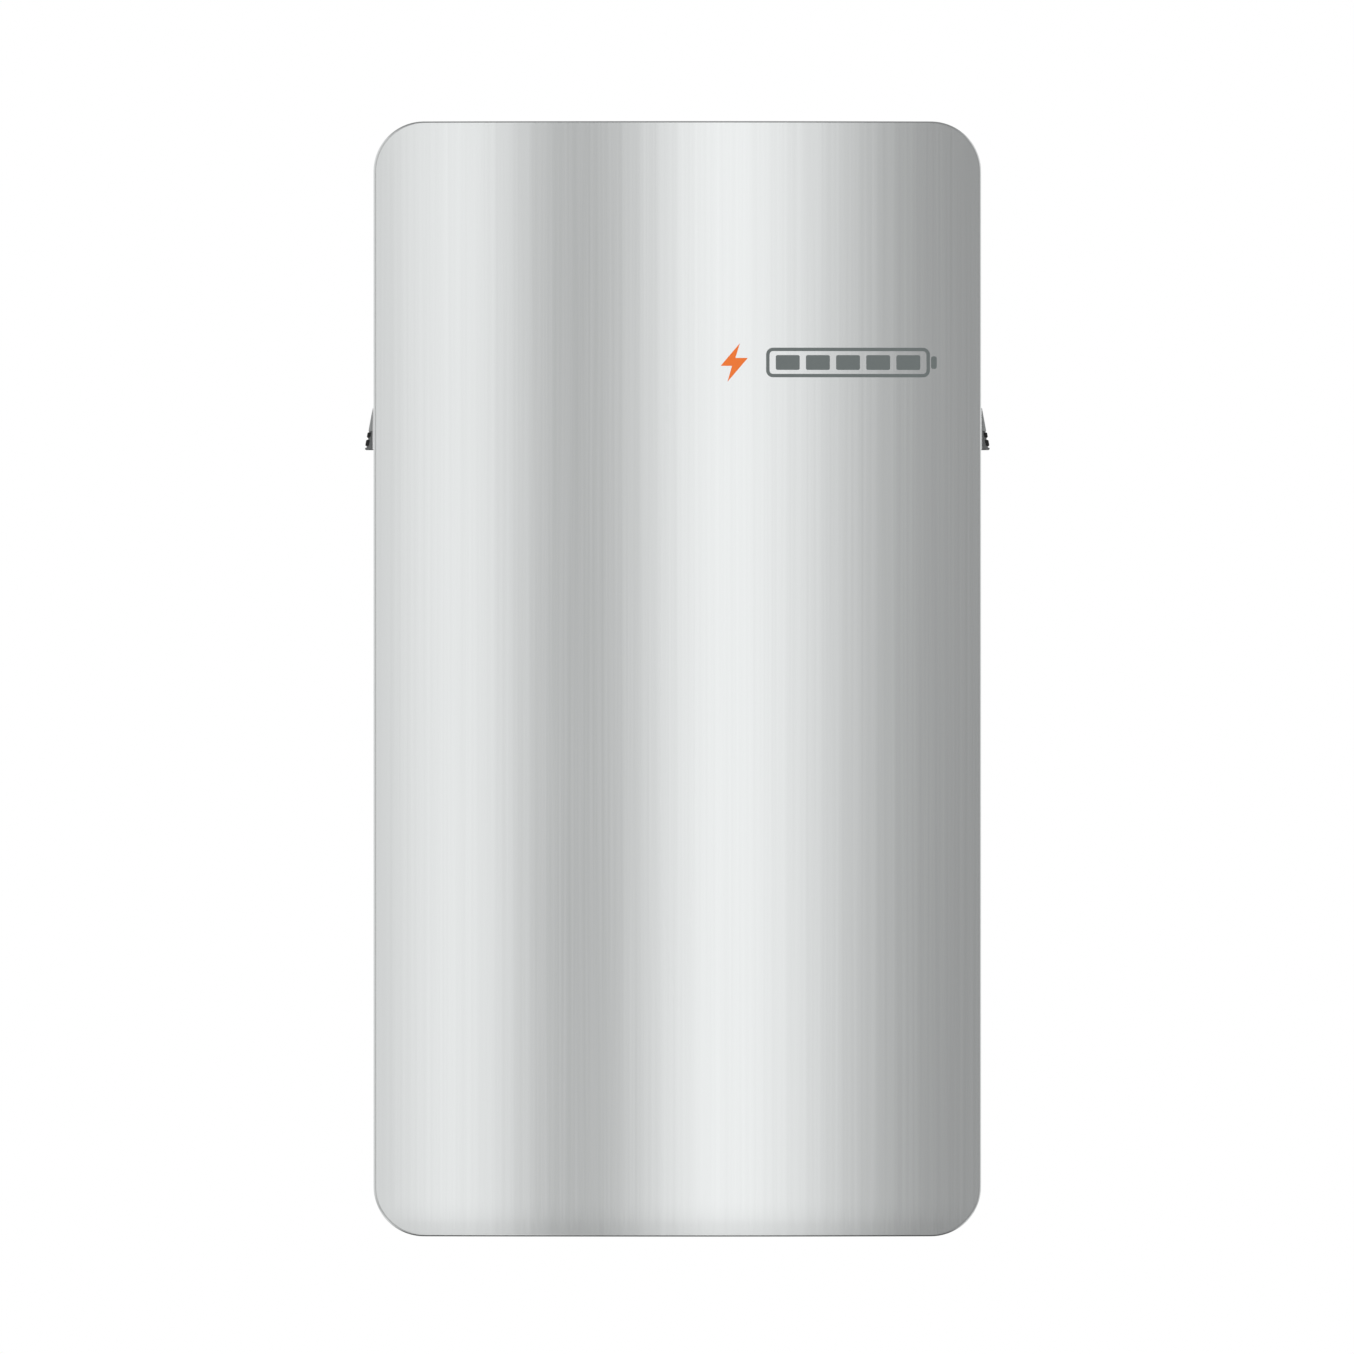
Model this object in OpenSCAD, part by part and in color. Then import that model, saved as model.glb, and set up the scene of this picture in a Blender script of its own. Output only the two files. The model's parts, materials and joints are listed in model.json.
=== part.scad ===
// Wall battery unit: a bowed sheet cover over six module inverters, a sealed
// housing with the cell stacks, side handles, a side isolator and a wall bracket.
//
// Frame: +Z up, +Y into the wall, the front faces -Y. The origin is the middle of
// the four wall bolts, on the wall. A "depth" below is a distance out from the wall.

/* [Front cover] */
// Width of the front cover
cover_w = 534; // [520:1:560]
// Height of the front cover
cover_h = 980; // [970:1:1000]
// Corner radius of the cover, seen from the front
cover_corner_r = 44; // [36:1:50]
// How far the front bows out between its side edges
cover_bow = 24; // [18:1:26]
// Sheet thickness of the cover
cover_t = 1.5; // [1.2:0.1:2]
// Depth of the whole unit, from the wall to the middle of the front
overall_depth = 188; // [186:1:194]
// Number of vent slots in the top edge, and in the bottom edge
vent_slots = 27; // [9:2:27]

/* [Housing] */
// Gap between the outline of the cover and that of the housing, on each side
housing_inset = 4; // [3.6:0.1:4.4]
// Wall thickness of the housing
housing_t = 2.5; // [2:0.1:3]

/* [Handles] */
// How far each handle stands out past the cover's side edge
handle_reach = 8; // [6:0.5:12]
// Height of the handle lip
handle_lip_h = 36.6; // [34:0.2:40]
// Length of the handle lip, from back to front
handle_len = 84; // [78:1:88]

/* [Isolator] */
// Radius of the isolator knob
knob_r = 24; // [20:1:26]
// Height of the isolator's centre
switch_z = 100; // [80:1:110]

/* [Wall bracket] */
// Spacing of the wall bolts across, between two studs
bolt_dx = 406.4; // [400:0.1:410]
// Spacing of the wall bolts up the wall
bolt_dz = 400; // [380:1:410]
// Radius of a wall bolt's hole
bolt_hole_r = 4.5; // [4:0.1:5.5]

/* [Battery] */
// Cells in each of the two stacks
cells_per_stack = 12; // [4:2:12]
// Thickness of one cell
cell_t = 42; // [36:1:42]

/* [Hidden] */
$fn = 48;
eps = 0.1;

// Cover: the bowed front is a large upright cylinder.
bow_r = (pow(cover_w / 2, 2) + pow(cover_bow, 2)) / (2 * cover_bow);
cover_back = 118;
vent_pitch = 16;
vent_w = 5;
vent_from = 132;
vent_to = 156;

// Housing, from its back wall to its rim. All radii follow the cover's corner.
housing_w = cover_w - 2 * housing_inset;
housing_h = cover_h - 2 * housing_inset;
housing_r = cover_corner_r - housing_inset;
side_x = housing_w / 2;
top_z = housing_h / 2;
housing_back = 22;
housing_floor = housing_back + housing_t;
rim = 128;
rim_t = 3;
rim_w = 20;
bead_depth = 20;
port_x = 150;
port_depth = 78;

// Lid, on its gasket.
gasket_t = 2;
lid_back = rim + gasket_t;
lid_t = 3;
lid_front = lid_back + lid_t;
lid_screw_inset = 6.5;
behind_lid = lid_back - 2;

// Wiring compartment behind its own cover, at the top of the lid.
wiring_z = 404;
wiring_w = 380;
wiring_h = 104;
wiring_cover_back = lid_front + 1.5;
wiring_cover_front = wiring_cover_back + 2;
partition_z = 296;

// Module inverters: two columns of three on the lid.
inverter_w = 175;
inverter_h = 212;
inverter_x = 118;
inverter_rows = [150, -90, -330];
inverter_base_front = lid_front + 2;
inverter_front = 160;
connector_dz = 60;
connector_r = 5.5;
connector_len = 14;
connector_end_x = inverter_x - inverter_w / 2 - connector_len;
dc_depth = 142.5;
ac_depth = 154.5;
ac_branch_depth = 151.5;
trunk_r = 4.5;
branch_r = 2.5;
trunk_bend_r = 8;
dc_entry_z = 272;
ac_entry_z = 318;

// Handles. The lip is a wedge: flush at its top, furthest out at its bottom.
handle_top_z = 238.6;
handle_depth = 70;
handle_flange_x = side_x + 2;
lip_x = handle_flange_x + 3.3;
lip_tip_x = cover_w / 2 + handle_reach;
lip_bottom_z = handle_top_z - handle_lip_h;
grip_split_z = 218;
rib_rise = 0.8;
rib_r = 2.2;
rib_heights = [214, 206.5];
pocket_d0 = 33;
pocket_d1 = 107;
pocket_z0 = 170;
pocket_z1 = 232;
pocket_x = side_x - 26;
pocket_t = 2;
flange_bottom_z = 158;
handle_d0 = handle_depth - handle_len / 2;
handle_d1 = handle_depth + handle_len / 2;
lip_wall = 2.5;
lip_cheek = 3;

// Isolator and status light on the right side.
switch_depth = 72;
shaft_r = 6;
bezel_r = 33;
bezel_floor_x = side_x - 16;
shaft_play = 0.06;
lens_z = 20;

// Conduit entries in the gland plate.
gland_depth = 78;
gland_z = 391;
large_entry_z = gland_z + 23;
small_entry_z = gland_z - 21;
large_entry_r = 14.1;
small_entry_r = 11.1;

// Wall bracket and the rails that hang on it.
bracket_w = 440;
bracket_h = 620;
bracket_t = 3;
cleat_half = 186;
upper_cleat_z = 230;
lower_cleat_z = -270;
cleat_h = 24;
cleat_t = 2.5;
hanger_half = bracket_w / 2 + 3.5;
lock_screw_z = lower_cleat_z + 8;
lock_screw_depth = 10;

// Battery stacks.
stack_x = 95;
cell_w = 148;
cell_back = 28;
cell_front = 116;
end_plate_t = 12;
spacer_t = 1.5;
stack_z0 = -456;
cell_pitch = cell_t + spacer_t;
stack_z1 = stack_z0 + cells_per_stack * cell_pitch - spacer_t;
terminal_dx = 48;
terminal_top = cell_front + 3;
busbar_t = 2;
stack_foot_front = 34;
board_back = 60;
board_front = board_back + 1.6;

// Flat leads between the stacks, the fuse, the contactor and the inverters' supply.
lead_w = 12;
fuse_z = 145;
fuse_top = 56;
contactor_z = 231;
contactor_top = 93;
lead_top = contactor_top + busbar_t;
terminal_block_z = 374;
ac_drop_depth = 70;

// ---- Helpers: a shape is drawn in X and Z and given a range of depths. ----

module slab(d0, d1) translate([0, -d0, 0]) rotate([90, 0, 0]) linear_extrude(height = d1 - d0) children();
module slab_x(x0, x1) translate([x0, 0, 0]) rotate([90, 0, 90]) linear_extrude(height = x1 - x0) children();
module box(x, d, z) translate([x[0], -d[1], z[0]]) cube([x[1] - x[0], d[1] - d[0], z[1] - z[0]]);
module rod_x(x0, x1, r, d, z) translate([x0, -d, z]) rotate([0, 90, 0]) cylinder(h = x1 - x0, r = r);
module rod_y(d0, d1, r, x, z) translate([x, -d0, z]) rotate([90, 0, 0]) cylinder(h = d1 - d0, r = r);
module rod_z(z0, z1, r, x, d) translate([x, -d, z0]) cylinder(h = z1 - z0, r = r);
module both_sides() for (s = [0, 1]) mirror([s, 0, 0]) children();
module on_side(name) if (name == "left") mirror([1, 0, 0]) children(); else children();

module rounded(w, h, r) {
  square([w - 2 * r, h], center = true);
  square([w, h - 2 * r], center = true);
  for (x = [-1, 1], z = [-1, 1]) translate([x * (w / 2 - r), z * (h / 2 - r)]) circle(r = r);
}

function spread(n, reach) = [for (i = [0 : n - 1]) -reach + 2 * reach * i / (n - 1)];

lid_screw_points = concat(
  [for (x = [-1, 1], z = spread(9, 420)) [x * (side_x - lid_screw_inset), z]],
  [for (x = spread(5, 200), z = [-1, 1]) [x, z * (top_z - lid_screw_inset)]]
);
wiring_screw_points = [for (x = [-195, 0, 195], z = [-57, 57]) [x, wiring_z + z]];
inverter_centres = [for (z = inverter_rows, x = [-1, 1]) [x * inverter_x, z]];
inverter_screw_points = [
  for (c = inverter_centres, x = [-60, 60], z = [-1, 1]) [c[0] + x, c[1] + z * (inverter_h / 2 + 4)]
];
gland_screw_points = [for (d = [-36, 36], z = [-41, 41]) [gland_depth + d, gland_z + z]];
handle_screw_points = [for (d = [28, 112], z = [164, 196]) [d, z]];
clip_heights = [-420, -140, 140, 420];
clip_x = 238;

// ---- Wall bracket and hanging rails ----

module wall_bracket() color("gainsboro") {
  difference() {
    union() {
      slab(0, bracket_t) rounded(bracket_w, bracket_h, 12);
      both_sides() box([bracket_w / 2 - 3, bracket_w / 2], [bracket_t - eps, 16], [-290, 290]);
      for (z = [upper_cleat_z, lower_cleat_z]) {
        box([-cleat_half, cleat_half], [bracket_t - eps, 13.5], [z, z + cleat_t]);
        box([-cleat_half, cleat_half], [13.5 - cleat_t, 13.5], [z, z + cleat_h]);
      }
    }
    for (x = [-115, 0, 115], z = [-165, -55, 55, 165])
      translate([x, 0, z]) slab(-eps, bracket_t + eps) rounded(84, 84, 14);
    for (x = [-1, 1], z = [-1, 1])
      rod_y(-eps, bracket_t + eps, bolt_hole_r, x * bolt_dx / 2, z * bolt_dz / 2);
    for (z = [-292, 292]) rod_y(-eps, bracket_t + eps, bolt_hole_r, 0, z);
    both_sides() rod_x(bracket_w / 2 - 4, bracket_w / 2 + 1, 3.1, lock_screw_depth, lock_screw_z);
  }
}

module hanger_rail(z, half) {
  top = z + cleat_h + cleat_t;
  hook_back = 5.75;
  box([-half, half], [housing_back - cleat_t, housing_back], [z - 10, top]);
  box([-cleat_half, cleat_half], [hook_back, housing_back], [top - cleat_t, top]);
  box([-cleat_half, cleat_half], [hook_back, hook_back + cleat_t], [z + 6, top]);
}

module hanger_rail_upper() color("silver") hanger_rail(upper_cleat_z, cleat_half);

module hanger_rail_lower() color("silver") difference() {
  union() {
    hanger_rail(lower_cleat_z, hanger_half);
    both_sides() box([hanger_half - cleat_t, hanger_half], [5, housing_back],
        [lower_cleat_z - 10, lower_cleat_z + cleat_h + cleat_t]);
  }
  both_sides() rod_x(hanger_half - 3, hanger_half + 0.5, 3.2, lock_screw_depth, lock_screw_z);
}

module securing_screws() color("dimgray") both_sides() {
  rod_x(212, hanger_half, 3, lock_screw_depth, lock_screw_z);
  translate([hanger_half, -lock_screw_depth, lock_screw_z]) rotate([0, 90, 0])
    cylinder(h = 4, r = 5.5, $fn = 6);
}

// ---- Housing ----

module housing() color("silver") difference() {
  union() {
    slab(housing_back, rim) rounded(housing_w, housing_h, housing_r);
    for (x = [-155, -55, 55, 155])
      translate([x, 0, -5]) slab(bead_depth, housing_back + eps) rounded(26, 400, 12);
    for (x = [-110, 110], z = [-380, 370])
      translate([x, 0, z]) slab(bead_depth, housing_back + eps) rounded(150, 26, 12);
  }
  slab(housing_floor, rim - rim_t)
    rounded(housing_w - 2 * housing_t, housing_h - 2 * housing_t, housing_r - housing_t);
  slab(rim - rim_t - eps, rim + eps) rounded(housing_w - 2 * rim_w, housing_h - 2 * rim_w, housing_r - 18);
  for (p = lid_screw_points) rod_y(rim - rim_t - eps, rim + eps, 2.5, p[0], p[1]);
  both_sides() {
    box([side_x - housing_t - eps, side_x + eps], [pocket_d0 - 0.2, pocket_d1 + 0.2],
        [pocket_z0 - 0.2, pocket_z1 + 0.2]);
    for (p = handle_screw_points) rod_x(side_x - housing_t - eps, side_x + eps, 1.6, p[0], p[1]);
  }
  rod_x(side_x - housing_t - eps, side_x + eps, bezel_r + 0.2, switch_depth, switch_z);
  slab_x(side_x - housing_t - eps, side_x + eps) translate([-switch_depth, lens_z]) rounded(7, 40, 3.4);
  slab_x(side_x - housing_t - eps, side_x + eps) translate([-gland_depth, gland_z]) rounded(64, 90, 6);
  for (p = gland_screw_points) rod_x(side_x - housing_t - eps, side_x + eps, 2, p[0], p[1]);
  rod_z(top_z - housing_t - eps, top_z + eps, 14.3, port_x, port_depth);
  rod_z(-top_z - eps, -top_z + housing_t + eps, 6.2, -port_x, port_depth);
}

module housing_gasket() color("#222222") slab(rim, lid_back) difference() {
  rounded(housing_w - 22, housing_h - 22, housing_r - 11);
  rounded(housing_w - 38, housing_h - 38, housing_r - 19);
}

module cover_seal() color("#222222") slab(119, 124) difference() {
  rounded(housing_w + 3.4, housing_h + 3.4, housing_r + 1.7);
  rounded(housing_w, housing_h, housing_r);
}

module lid() color("lightgray") difference() {
  slab(lid_back, lid_front) rounded(housing_w - 4, housing_h - 4, housing_r - 2);
  for (p = lid_screw_points) rod_y(lid_back - eps, lid_front + eps, 2.7, p[0], p[1]);
  for (p = wiring_screw_points) rod_y(lid_back - eps, lid_front + eps, 2, p[0], p[1]);
  for (p = inverter_screw_points) rod_y(lid_back - eps, lid_front + eps, 1.7, p[0], p[1]);
  for (z = [dc_entry_z, ac_entry_z]) rod_y(lid_back - eps, lid_front + eps, 8, 0, z);
  translate([0, 0, wiring_z]) slab(lid_back - eps, lid_front + eps) rounded(wiring_w, wiring_h, 8);
}

module lid_screws() color("gray") for (p = lid_screw_points) {
  rod_y(lid_front, lid_front + 3, 4.5, p[0], p[1]);
  rod_y(rim - 6, lid_front, 2.4, p[0], p[1]);
}

module wiring_cover() color("lightgray") difference() {
  translate([0, 0, wiring_z]) slab(wiring_cover_back, wiring_cover_front) rounded(406, 130, 12);
  for (p = wiring_screw_points) rod_y(wiring_cover_back - eps, wiring_cover_front + eps, 2.1, p[0], p[1]);
}

module wiring_cover_gasket() color("#222222") difference() {
  translate([0, 0, wiring_z]) slab(lid_front, wiring_cover_back) difference() {
    rounded(404, 128, 11);
    rounded(wiring_w, wiring_h, 8);
  }
  for (p = wiring_screw_points) rod_y(lid_front - eps, wiring_cover_back + eps, 2.1, p[0], p[1]);
}

module m4_screws() color("gray") {
  for (p = wiring_screw_points) {
    rod_y(wiring_cover_front, wiring_cover_front + 2.5, 3.6, p[0], p[1]);
    rod_y(behind_lid, wiring_cover_front, 1.9, p[0], p[1]);
  }
  for (p = gland_screw_points) {
    rod_x(side_x, side_x + 2, 3.5, p[0], p[1]);
    rod_x(side_x - 9, side_x, 1.9, p[0], p[1]);
  }
  both_sides() for (p = handle_screw_points) {
    rod_x(handle_flange_x, handle_flange_x + 1.6, 2.8, p[0], p[1]);
    rod_x(side_x - 6, handle_flange_x, 1.5, p[0], p[1]);
  }
}

module gland_plate() color("lightgray") difference() {
  slab_x(side_x - housing_t - 3, side_x - housing_t) translate([-gland_depth, gland_z]) rounded(80, 106, 6);
  rod_x(side_x - 7, side_x, large_entry_r, gland_depth, large_entry_z);
  rod_x(side_x - 7, side_x, small_entry_r, gland_depth, small_entry_z);
  for (p = gland_screw_points) rod_x(side_x - 7, side_x, 2, p[0], p[1]);
}

module top_entry_plug() color("#333333") difference() {
  union() {
    rod_z(top_z, top_z + 2.5, 18, port_x, port_depth);
    rod_z(top_z - 10, top_z + eps, 14.1, port_x, port_depth);
    rod_z(top_z - housing_t - 4, top_z - housing_t, 18, port_x, port_depth);
  }
  rod_z(top_z - 11, top_z - 1, 11, port_x, port_depth);
}

module breather_vent() color("#333333") {
  rod_z(-top_z - 3, -top_z, 10, -port_x, port_depth);
  rod_z(-top_z - eps, -top_z + 12, 6, -port_x, port_depth);
}

module rating_plate() color("white")
  slab_x(-side_x - 0.4, -side_x) translate([-74, 60]) rounded(70, 110, 4);

// ---- Module inverters and their wiring, on the lid ----

module inverter(i) {
  c = inverter_centres[i];
  inward = c[0] < 0 ? 0 : 1;
  color("#3a3d40") difference() {
    translate([c[0], 0, c[1]]) mirror([inward, 0, 0]) {
      slab(lid_front, inverter_base_front) rounded(150, inverter_h + 16, 6);
      slab(inverter_base_front - eps, inverter_front - 5) rounded(inverter_w, inverter_h, 10);
      slab(inverter_front - 5 - eps, inverter_front) rounded(inverter_w - 10, inverter_h - 10, 8);
      for (x = spread(9, 66))
        translate([x, 0, 0]) slab(inverter_front - eps, inverter_front + 3) rounded(5, 178, 2.4);
      for (p = [[dc_depth, -connector_dz], [149.5, connector_dz]])
        rod_x(inverter_w / 2 - eps, inverter_w / 2 + connector_len, connector_r, p[0], p[1]);
    }
    for (p = inverter_screw_points) rod_y(lid_front - eps, inverter_base_front + 1, 1.7, p[0], p[1]);
  }
}

module inverter_screws() color("silver") for (p = inverter_screw_points) {
  rod_y(inverter_base_front, inverter_base_front + 2.5, 3.2, p[0], p[1]);
  rod_y(behind_lid, inverter_base_front, 1.6, p[0], p[1]);
}

module trunk(depth, z_low, z_entry, inner_depth) {
  rod_z(z_low, z_entry - trunk_bend_r, trunk_r, 0, depth);
  translate([0, -depth + trunk_bend_r, z_entry - trunk_bend_r]) rotate([0, -90, 0])
    rotate([0, 0, -90]) rotate_extrude(angle = 90) translate([trunk_bend_r, 0]) circle(r = trunk_r);
  rod_y(inner_depth, depth - trunk_bend_r, trunk_r, 0, z_entry);
}

module dc_harness() color("#c8641e") {
  trunk(dc_depth, inverter_rows[2] - connector_dz - 6, dc_entry_z, lead_top);
  for (z = inverter_rows)
    rod_x(-connector_end_x, connector_end_x, branch_r, dc_depth, z - connector_dz);
}

module ac_harness() color("#26282a") {
  trunk(ac_depth, inverter_rows[2] + connector_dz - 6, ac_entry_z, ac_drop_depth);
  translate([0, -ac_drop_depth, ac_entry_z]) sphere(r = trunk_r);
  rod_z(ac_entry_z, terminal_block_z, trunk_r, 0, ac_drop_depth);
  for (z = inverter_rows)
    rod_x(-connector_end_x, connector_end_x, branch_r, ac_branch_depth, z + connector_dz);
}

module cable_grommets() color("#222222") for (z = [dc_entry_z, ac_entry_z]) difference() {
  union() {
    rod_y(lid_front, lid_front + 1.4, 11, 0, z);
    rod_y(lid_back - eps, lid_front + eps, 7.9, 0, z);
    rod_y(lid_back - 1.5, lid_back, 11, 0, z);
  }
  rod_y(behind_lid, lid_front + 2, trunk_r + 0.1, 0, z);
}

module harness_clips() color("#333333") for (z = [-210, 30, 240]) difference() {
  union() {
    box([-22, 22], [lid_front, inverter_base_front], [z - 5, z + 5]);
    box([-10, 10], [lid_front, inverter_front + 3], [z - 5, z + 5]);
  }
  box([-7, 7], [136.5, 160.5], [z - 6, z + 6]);
}

module cover_clips() color("whitesmoke") both_sides() for (z = clip_heights) difference() {
  union() {
    rod_y(lid_front, 134, 8, clip_x, z);
    rod_y(134 - eps, 141.5, 6.5, clip_x, z);
  }
  rod_y(134.2, 142, 3.8, clip_x, z);
  box([clip_x - 0.8, clip_x + 0.8], [136, 142], [z - 8, z + 8]);
}

// ---- Handles, drawn for the right side ----

module handle_pocket(side) on_side(side) color("#5a5d60") difference() {
  union() {
    slab_x(side_x, handle_flange_x) translate([-handle_depth, (flange_bottom_z + handle_top_z) / 2])
      rounded(92, handle_top_z - flange_bottom_z, 5);
    box([pocket_x, side_x + eps], [pocket_d0, pocket_d1], [pocket_z0, pocket_z1]);
  }
  box([pocket_x + pocket_t, handle_flange_x + 1], [pocket_d0 + pocket_t, pocket_d1 - pocket_t],
      [pocket_z0 + pocket_t, pocket_z1 - pocket_t]);
  for (p = handle_screw_points) rod_x(side_x - 1, handle_flange_x + 1, 1.6, p[0], p[1]);
}

module handle_plate(side) on_side(side) color("whitesmoke") difference() {
  box([handle_flange_x, lip_x], [handle_d0, handle_d1], [lip_bottom_z, handle_top_z]);
  box([handle_flange_x - 1, lip_x + 1], [pocket_d0 + pocket_t, pocket_d1 - pocket_t],
      [lip_bottom_z - 1, pocket_z1 - pocket_t]);
}

// The hollow wedge of the lip, open at its inner side and its bottom.
module lip_shell() {
  difference() {
    slab(handle_d0, handle_d1) polygon([
      [lip_x, lip_bottom_z], [lip_tip_x, lip_bottom_z], [lip_x, handle_top_z]
    ]);
    slab(handle_d0 + lip_cheek, handle_d1 - lip_cheek) polygon([
      [lip_x - 1, lip_bottom_z - 1], [lip_tip_x - lip_wall, lip_bottom_z - 1],
      [lip_x - 1, handle_top_z - 8]
    ]);
  }
}

function lip_face_x(z) = lip_x + (lip_tip_x - lip_x) * (handle_top_z - z) / handle_lip_h;

module handle_cup(side) on_side(side) color("#8c8f92") intersection() {
  lip_shell();
  box([side_x, side_x + 30], [0, 140], [grip_split_z, handle_top_z + 1]);
}

module handle_grip(side) on_side(side) color("#1e1e1e") {
  intersection() {
    lip_shell();
    box([side_x, side_x + 30], [0, 140], [lip_bottom_z - 1, grip_split_z]);
  }
  for (z = rib_heights)
    rod_y(handle_d0, handle_d1, rib_r, lip_face_x(z) + rib_rise - rib_r, z);
}

// ---- Isolator and status light ----

module switch_bezel() color("#2c2f32") difference() {
  union() {
    rod_x(side_x, side_x + 2, 38, switch_depth, switch_z);
    rod_x(bezel_floor_x - 2, side_x + eps, bezel_r, switch_depth, switch_z);
  }
  rod_x(bezel_floor_x, side_x + 3, bezel_r - 2, switch_depth, switch_z);
  rod_x(bezel_floor_x - 3, bezel_floor_x + 1, shaft_r + shaft_play, switch_depth, switch_z);
}

module switch_body() color("#46494c") difference() {
  union() {
    box([bezel_floor_x - 47, bezel_floor_x - 2], [44, 100], [switch_z - 30, switch_z + 30]);
    for (z = [-18, 0, 18], d = [50, 94])
      rod_x(bezel_floor_x - 53, bezel_floor_x - 46, 4, d, switch_z + z);
  }
  rod_x(bezel_floor_x - 27, bezel_floor_x - 1, shaft_r + shaft_play, switch_depth, switch_z);
}

module switch_knob() color("#c23b22") {
  rod_x(bezel_floor_x + 1, bezel_floor_x + 8, knob_r, switch_depth, switch_z);
  slab_x(bezel_floor_x + 8 - eps, bezel_floor_x + 17.5)
    translate([-switch_depth, switch_z]) rounded(10, 2 * knob_r - 2, 4.9);
  rod_x(bezel_floor_x - 25, bezel_floor_x + 1 + eps, shaft_r, switch_depth, switch_z);
}

module status_lens() color("#d8ecff") {
  slab_x(side_x - housing_t - 4, side_x - housing_t) translate([-switch_depth, lens_z]) rounded(12, 46, 5);
  slab_x(side_x - housing_t - eps, side_x + 1.2) translate([-switch_depth, lens_z]) rounded(6.8, 39.8, 3.3);
}

// ---- Battery ----

function cell_z(i) = stack_z0 + i * cell_pitch;

module cell_stack(x) color("#4a6fa5") for (i = [0 : cells_per_stack - 1]) {
  box([x - cell_w / 2, x + cell_w / 2], [cell_back, cell_front], [cell_z(i), cell_z(i) + cell_t]);
  for (s = [-1, 1])
    rod_y(cell_front - eps, terminal_top, 7, x + s * terminal_dx, cell_z(i) + cell_t / 2);
  rod_y(cell_front - eps, cell_front + 0.8, 9, x, cell_z(i) + cell_t / 2);
}

module cell_spacers() color("beige") for (x = [-stack_x, stack_x], i = [0 : cells_per_stack - 2])
  box([x - 72, x + 72], [cell_back + 1, cell_front - 1], [cell_z(i) + cell_t, cell_z(i + 1)]);

module end_plates() color("silver") for (x = [-stack_x, stack_x]) {
  box([x - cell_w / 2, x + cell_w / 2], [cell_back, cell_front], [stack_z0 - end_plate_t, stack_z0]);
  box([x - 60, x + 60], [housing_floor, stack_foot_front],
      [stack_z0 - end_plate_t - 12, stack_z0 - end_plate_t + 2]);
  box([x - cell_w / 2, x + cell_w / 2], [cell_back, cell_front], [stack_z1, stack_z1 + end_plate_t]);
  box([x - 60, x + 60], [housing_floor, stack_foot_front],
      [stack_z1 + end_plate_t - 2, stack_z1 + end_plate_t + 14]);
}

module stack_bands() color("lightsteelblue") for (x = [-stack_x, stack_x], d = [44, 86]) difference() {
  box([x - cell_w / 2 - 0.85, x + cell_w / 2 + 0.85], [d, d + 18],
      [stack_z0 - end_plate_t - 0.85, stack_z1 + end_plate_t + 0.85]);
  box([x - cell_w / 2 - 0.05, x + cell_w / 2 + 0.05], [d - 1, d + 19],
      [stack_z0 - end_plate_t - 0.05, stack_z1 + end_plate_t + 0.05]);
}

module busbars() color("#b87333") for (x = [-stack_x, stack_x], i = [0 : cells_per_stack - 2])
  translate([x + (i % 2 == 0 ? 1 : -1) * terminal_dx, 0, cell_z(i) + cell_t / 2 + cell_pitch / 2])
    slab(terminal_top, terminal_top + busbar_t) rounded(20, cell_pitch + 18, 9);

module busbar_covers() color("#e8e8e0") for (x = [-stack_x, stack_x])
  box([x - 66, x + 66], [terminal_top + busbar_t, terminal_top + busbar_t + 1.5],
      [stack_z0 + 4, stack_z1 - 42]);

module pack_pads() color("#9aa0a6") for (x = [-stack_x, stack_x])
  box([x - 68, x + 68], [housing_floor, cell_back], [stack_z0 + 2, stack_z1 - 2]);

module bms_board() color("#1d6b3a") box([-200, 20], [board_back, board_front], [120, 270]);

module bms_parts() {
  color("silver") for (x = [-192, 12], z = [128, 262]) rod_y(housing_floor, board_back, 4, x, z);
  color("#222222") {
    for (x = [-170, -130, -90]) box([x - 12, x + 12], [board_front, 64], [180, 204]);
    box([-60, 0], [board_front, 84], [140, 230]);
    for (x = [-160, -110]) box([x - 18, x + 18], [board_front, 72], [124, 138]);
  }
  color("#404a80") for (x = [-180, -160, -140, -120]) rod_y(board_front, 84, 8, x, 236);
}

module main_fuse() {
  color("#e8e8e0") box([60, 170], [housing_floor, 36], [fuse_z - 15, fuse_z + 15]);
  color("white") rod_x(80, 150, 12, 52, fuse_z);
  color("#b87333") for (x = [[66, 80], [150, 164]]) box(x, [36, fuse_top], [fuse_z - 8, fuse_z + 8]);
}

module contactor() color("#2c2f32") {
  box([60, 120], [housing_floor, contactor_top - 8], [contactor_z - 31, contactor_z + 31]);
  for (x = [75, 105]) rod_y(contactor_top - 8 - eps, contactor_top, 5, x, contactor_z);
}

module lead_x(x0, x1, d, z) box([x0, x1], [d, d + busbar_t], [z - lead_w / 2, z + lead_w / 2]);
module lead_z(z0, z1, d, x) box([x - lead_w / 2, x + lead_w / 2], [d, d + busbar_t], [z0, z1]);
module lead_y(d0, d1, x, z) box([x - lead_w / 2, x + lead_w / 2], [d0, d1], [z - lead_w / 2, z + lead_w / 2]);

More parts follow.
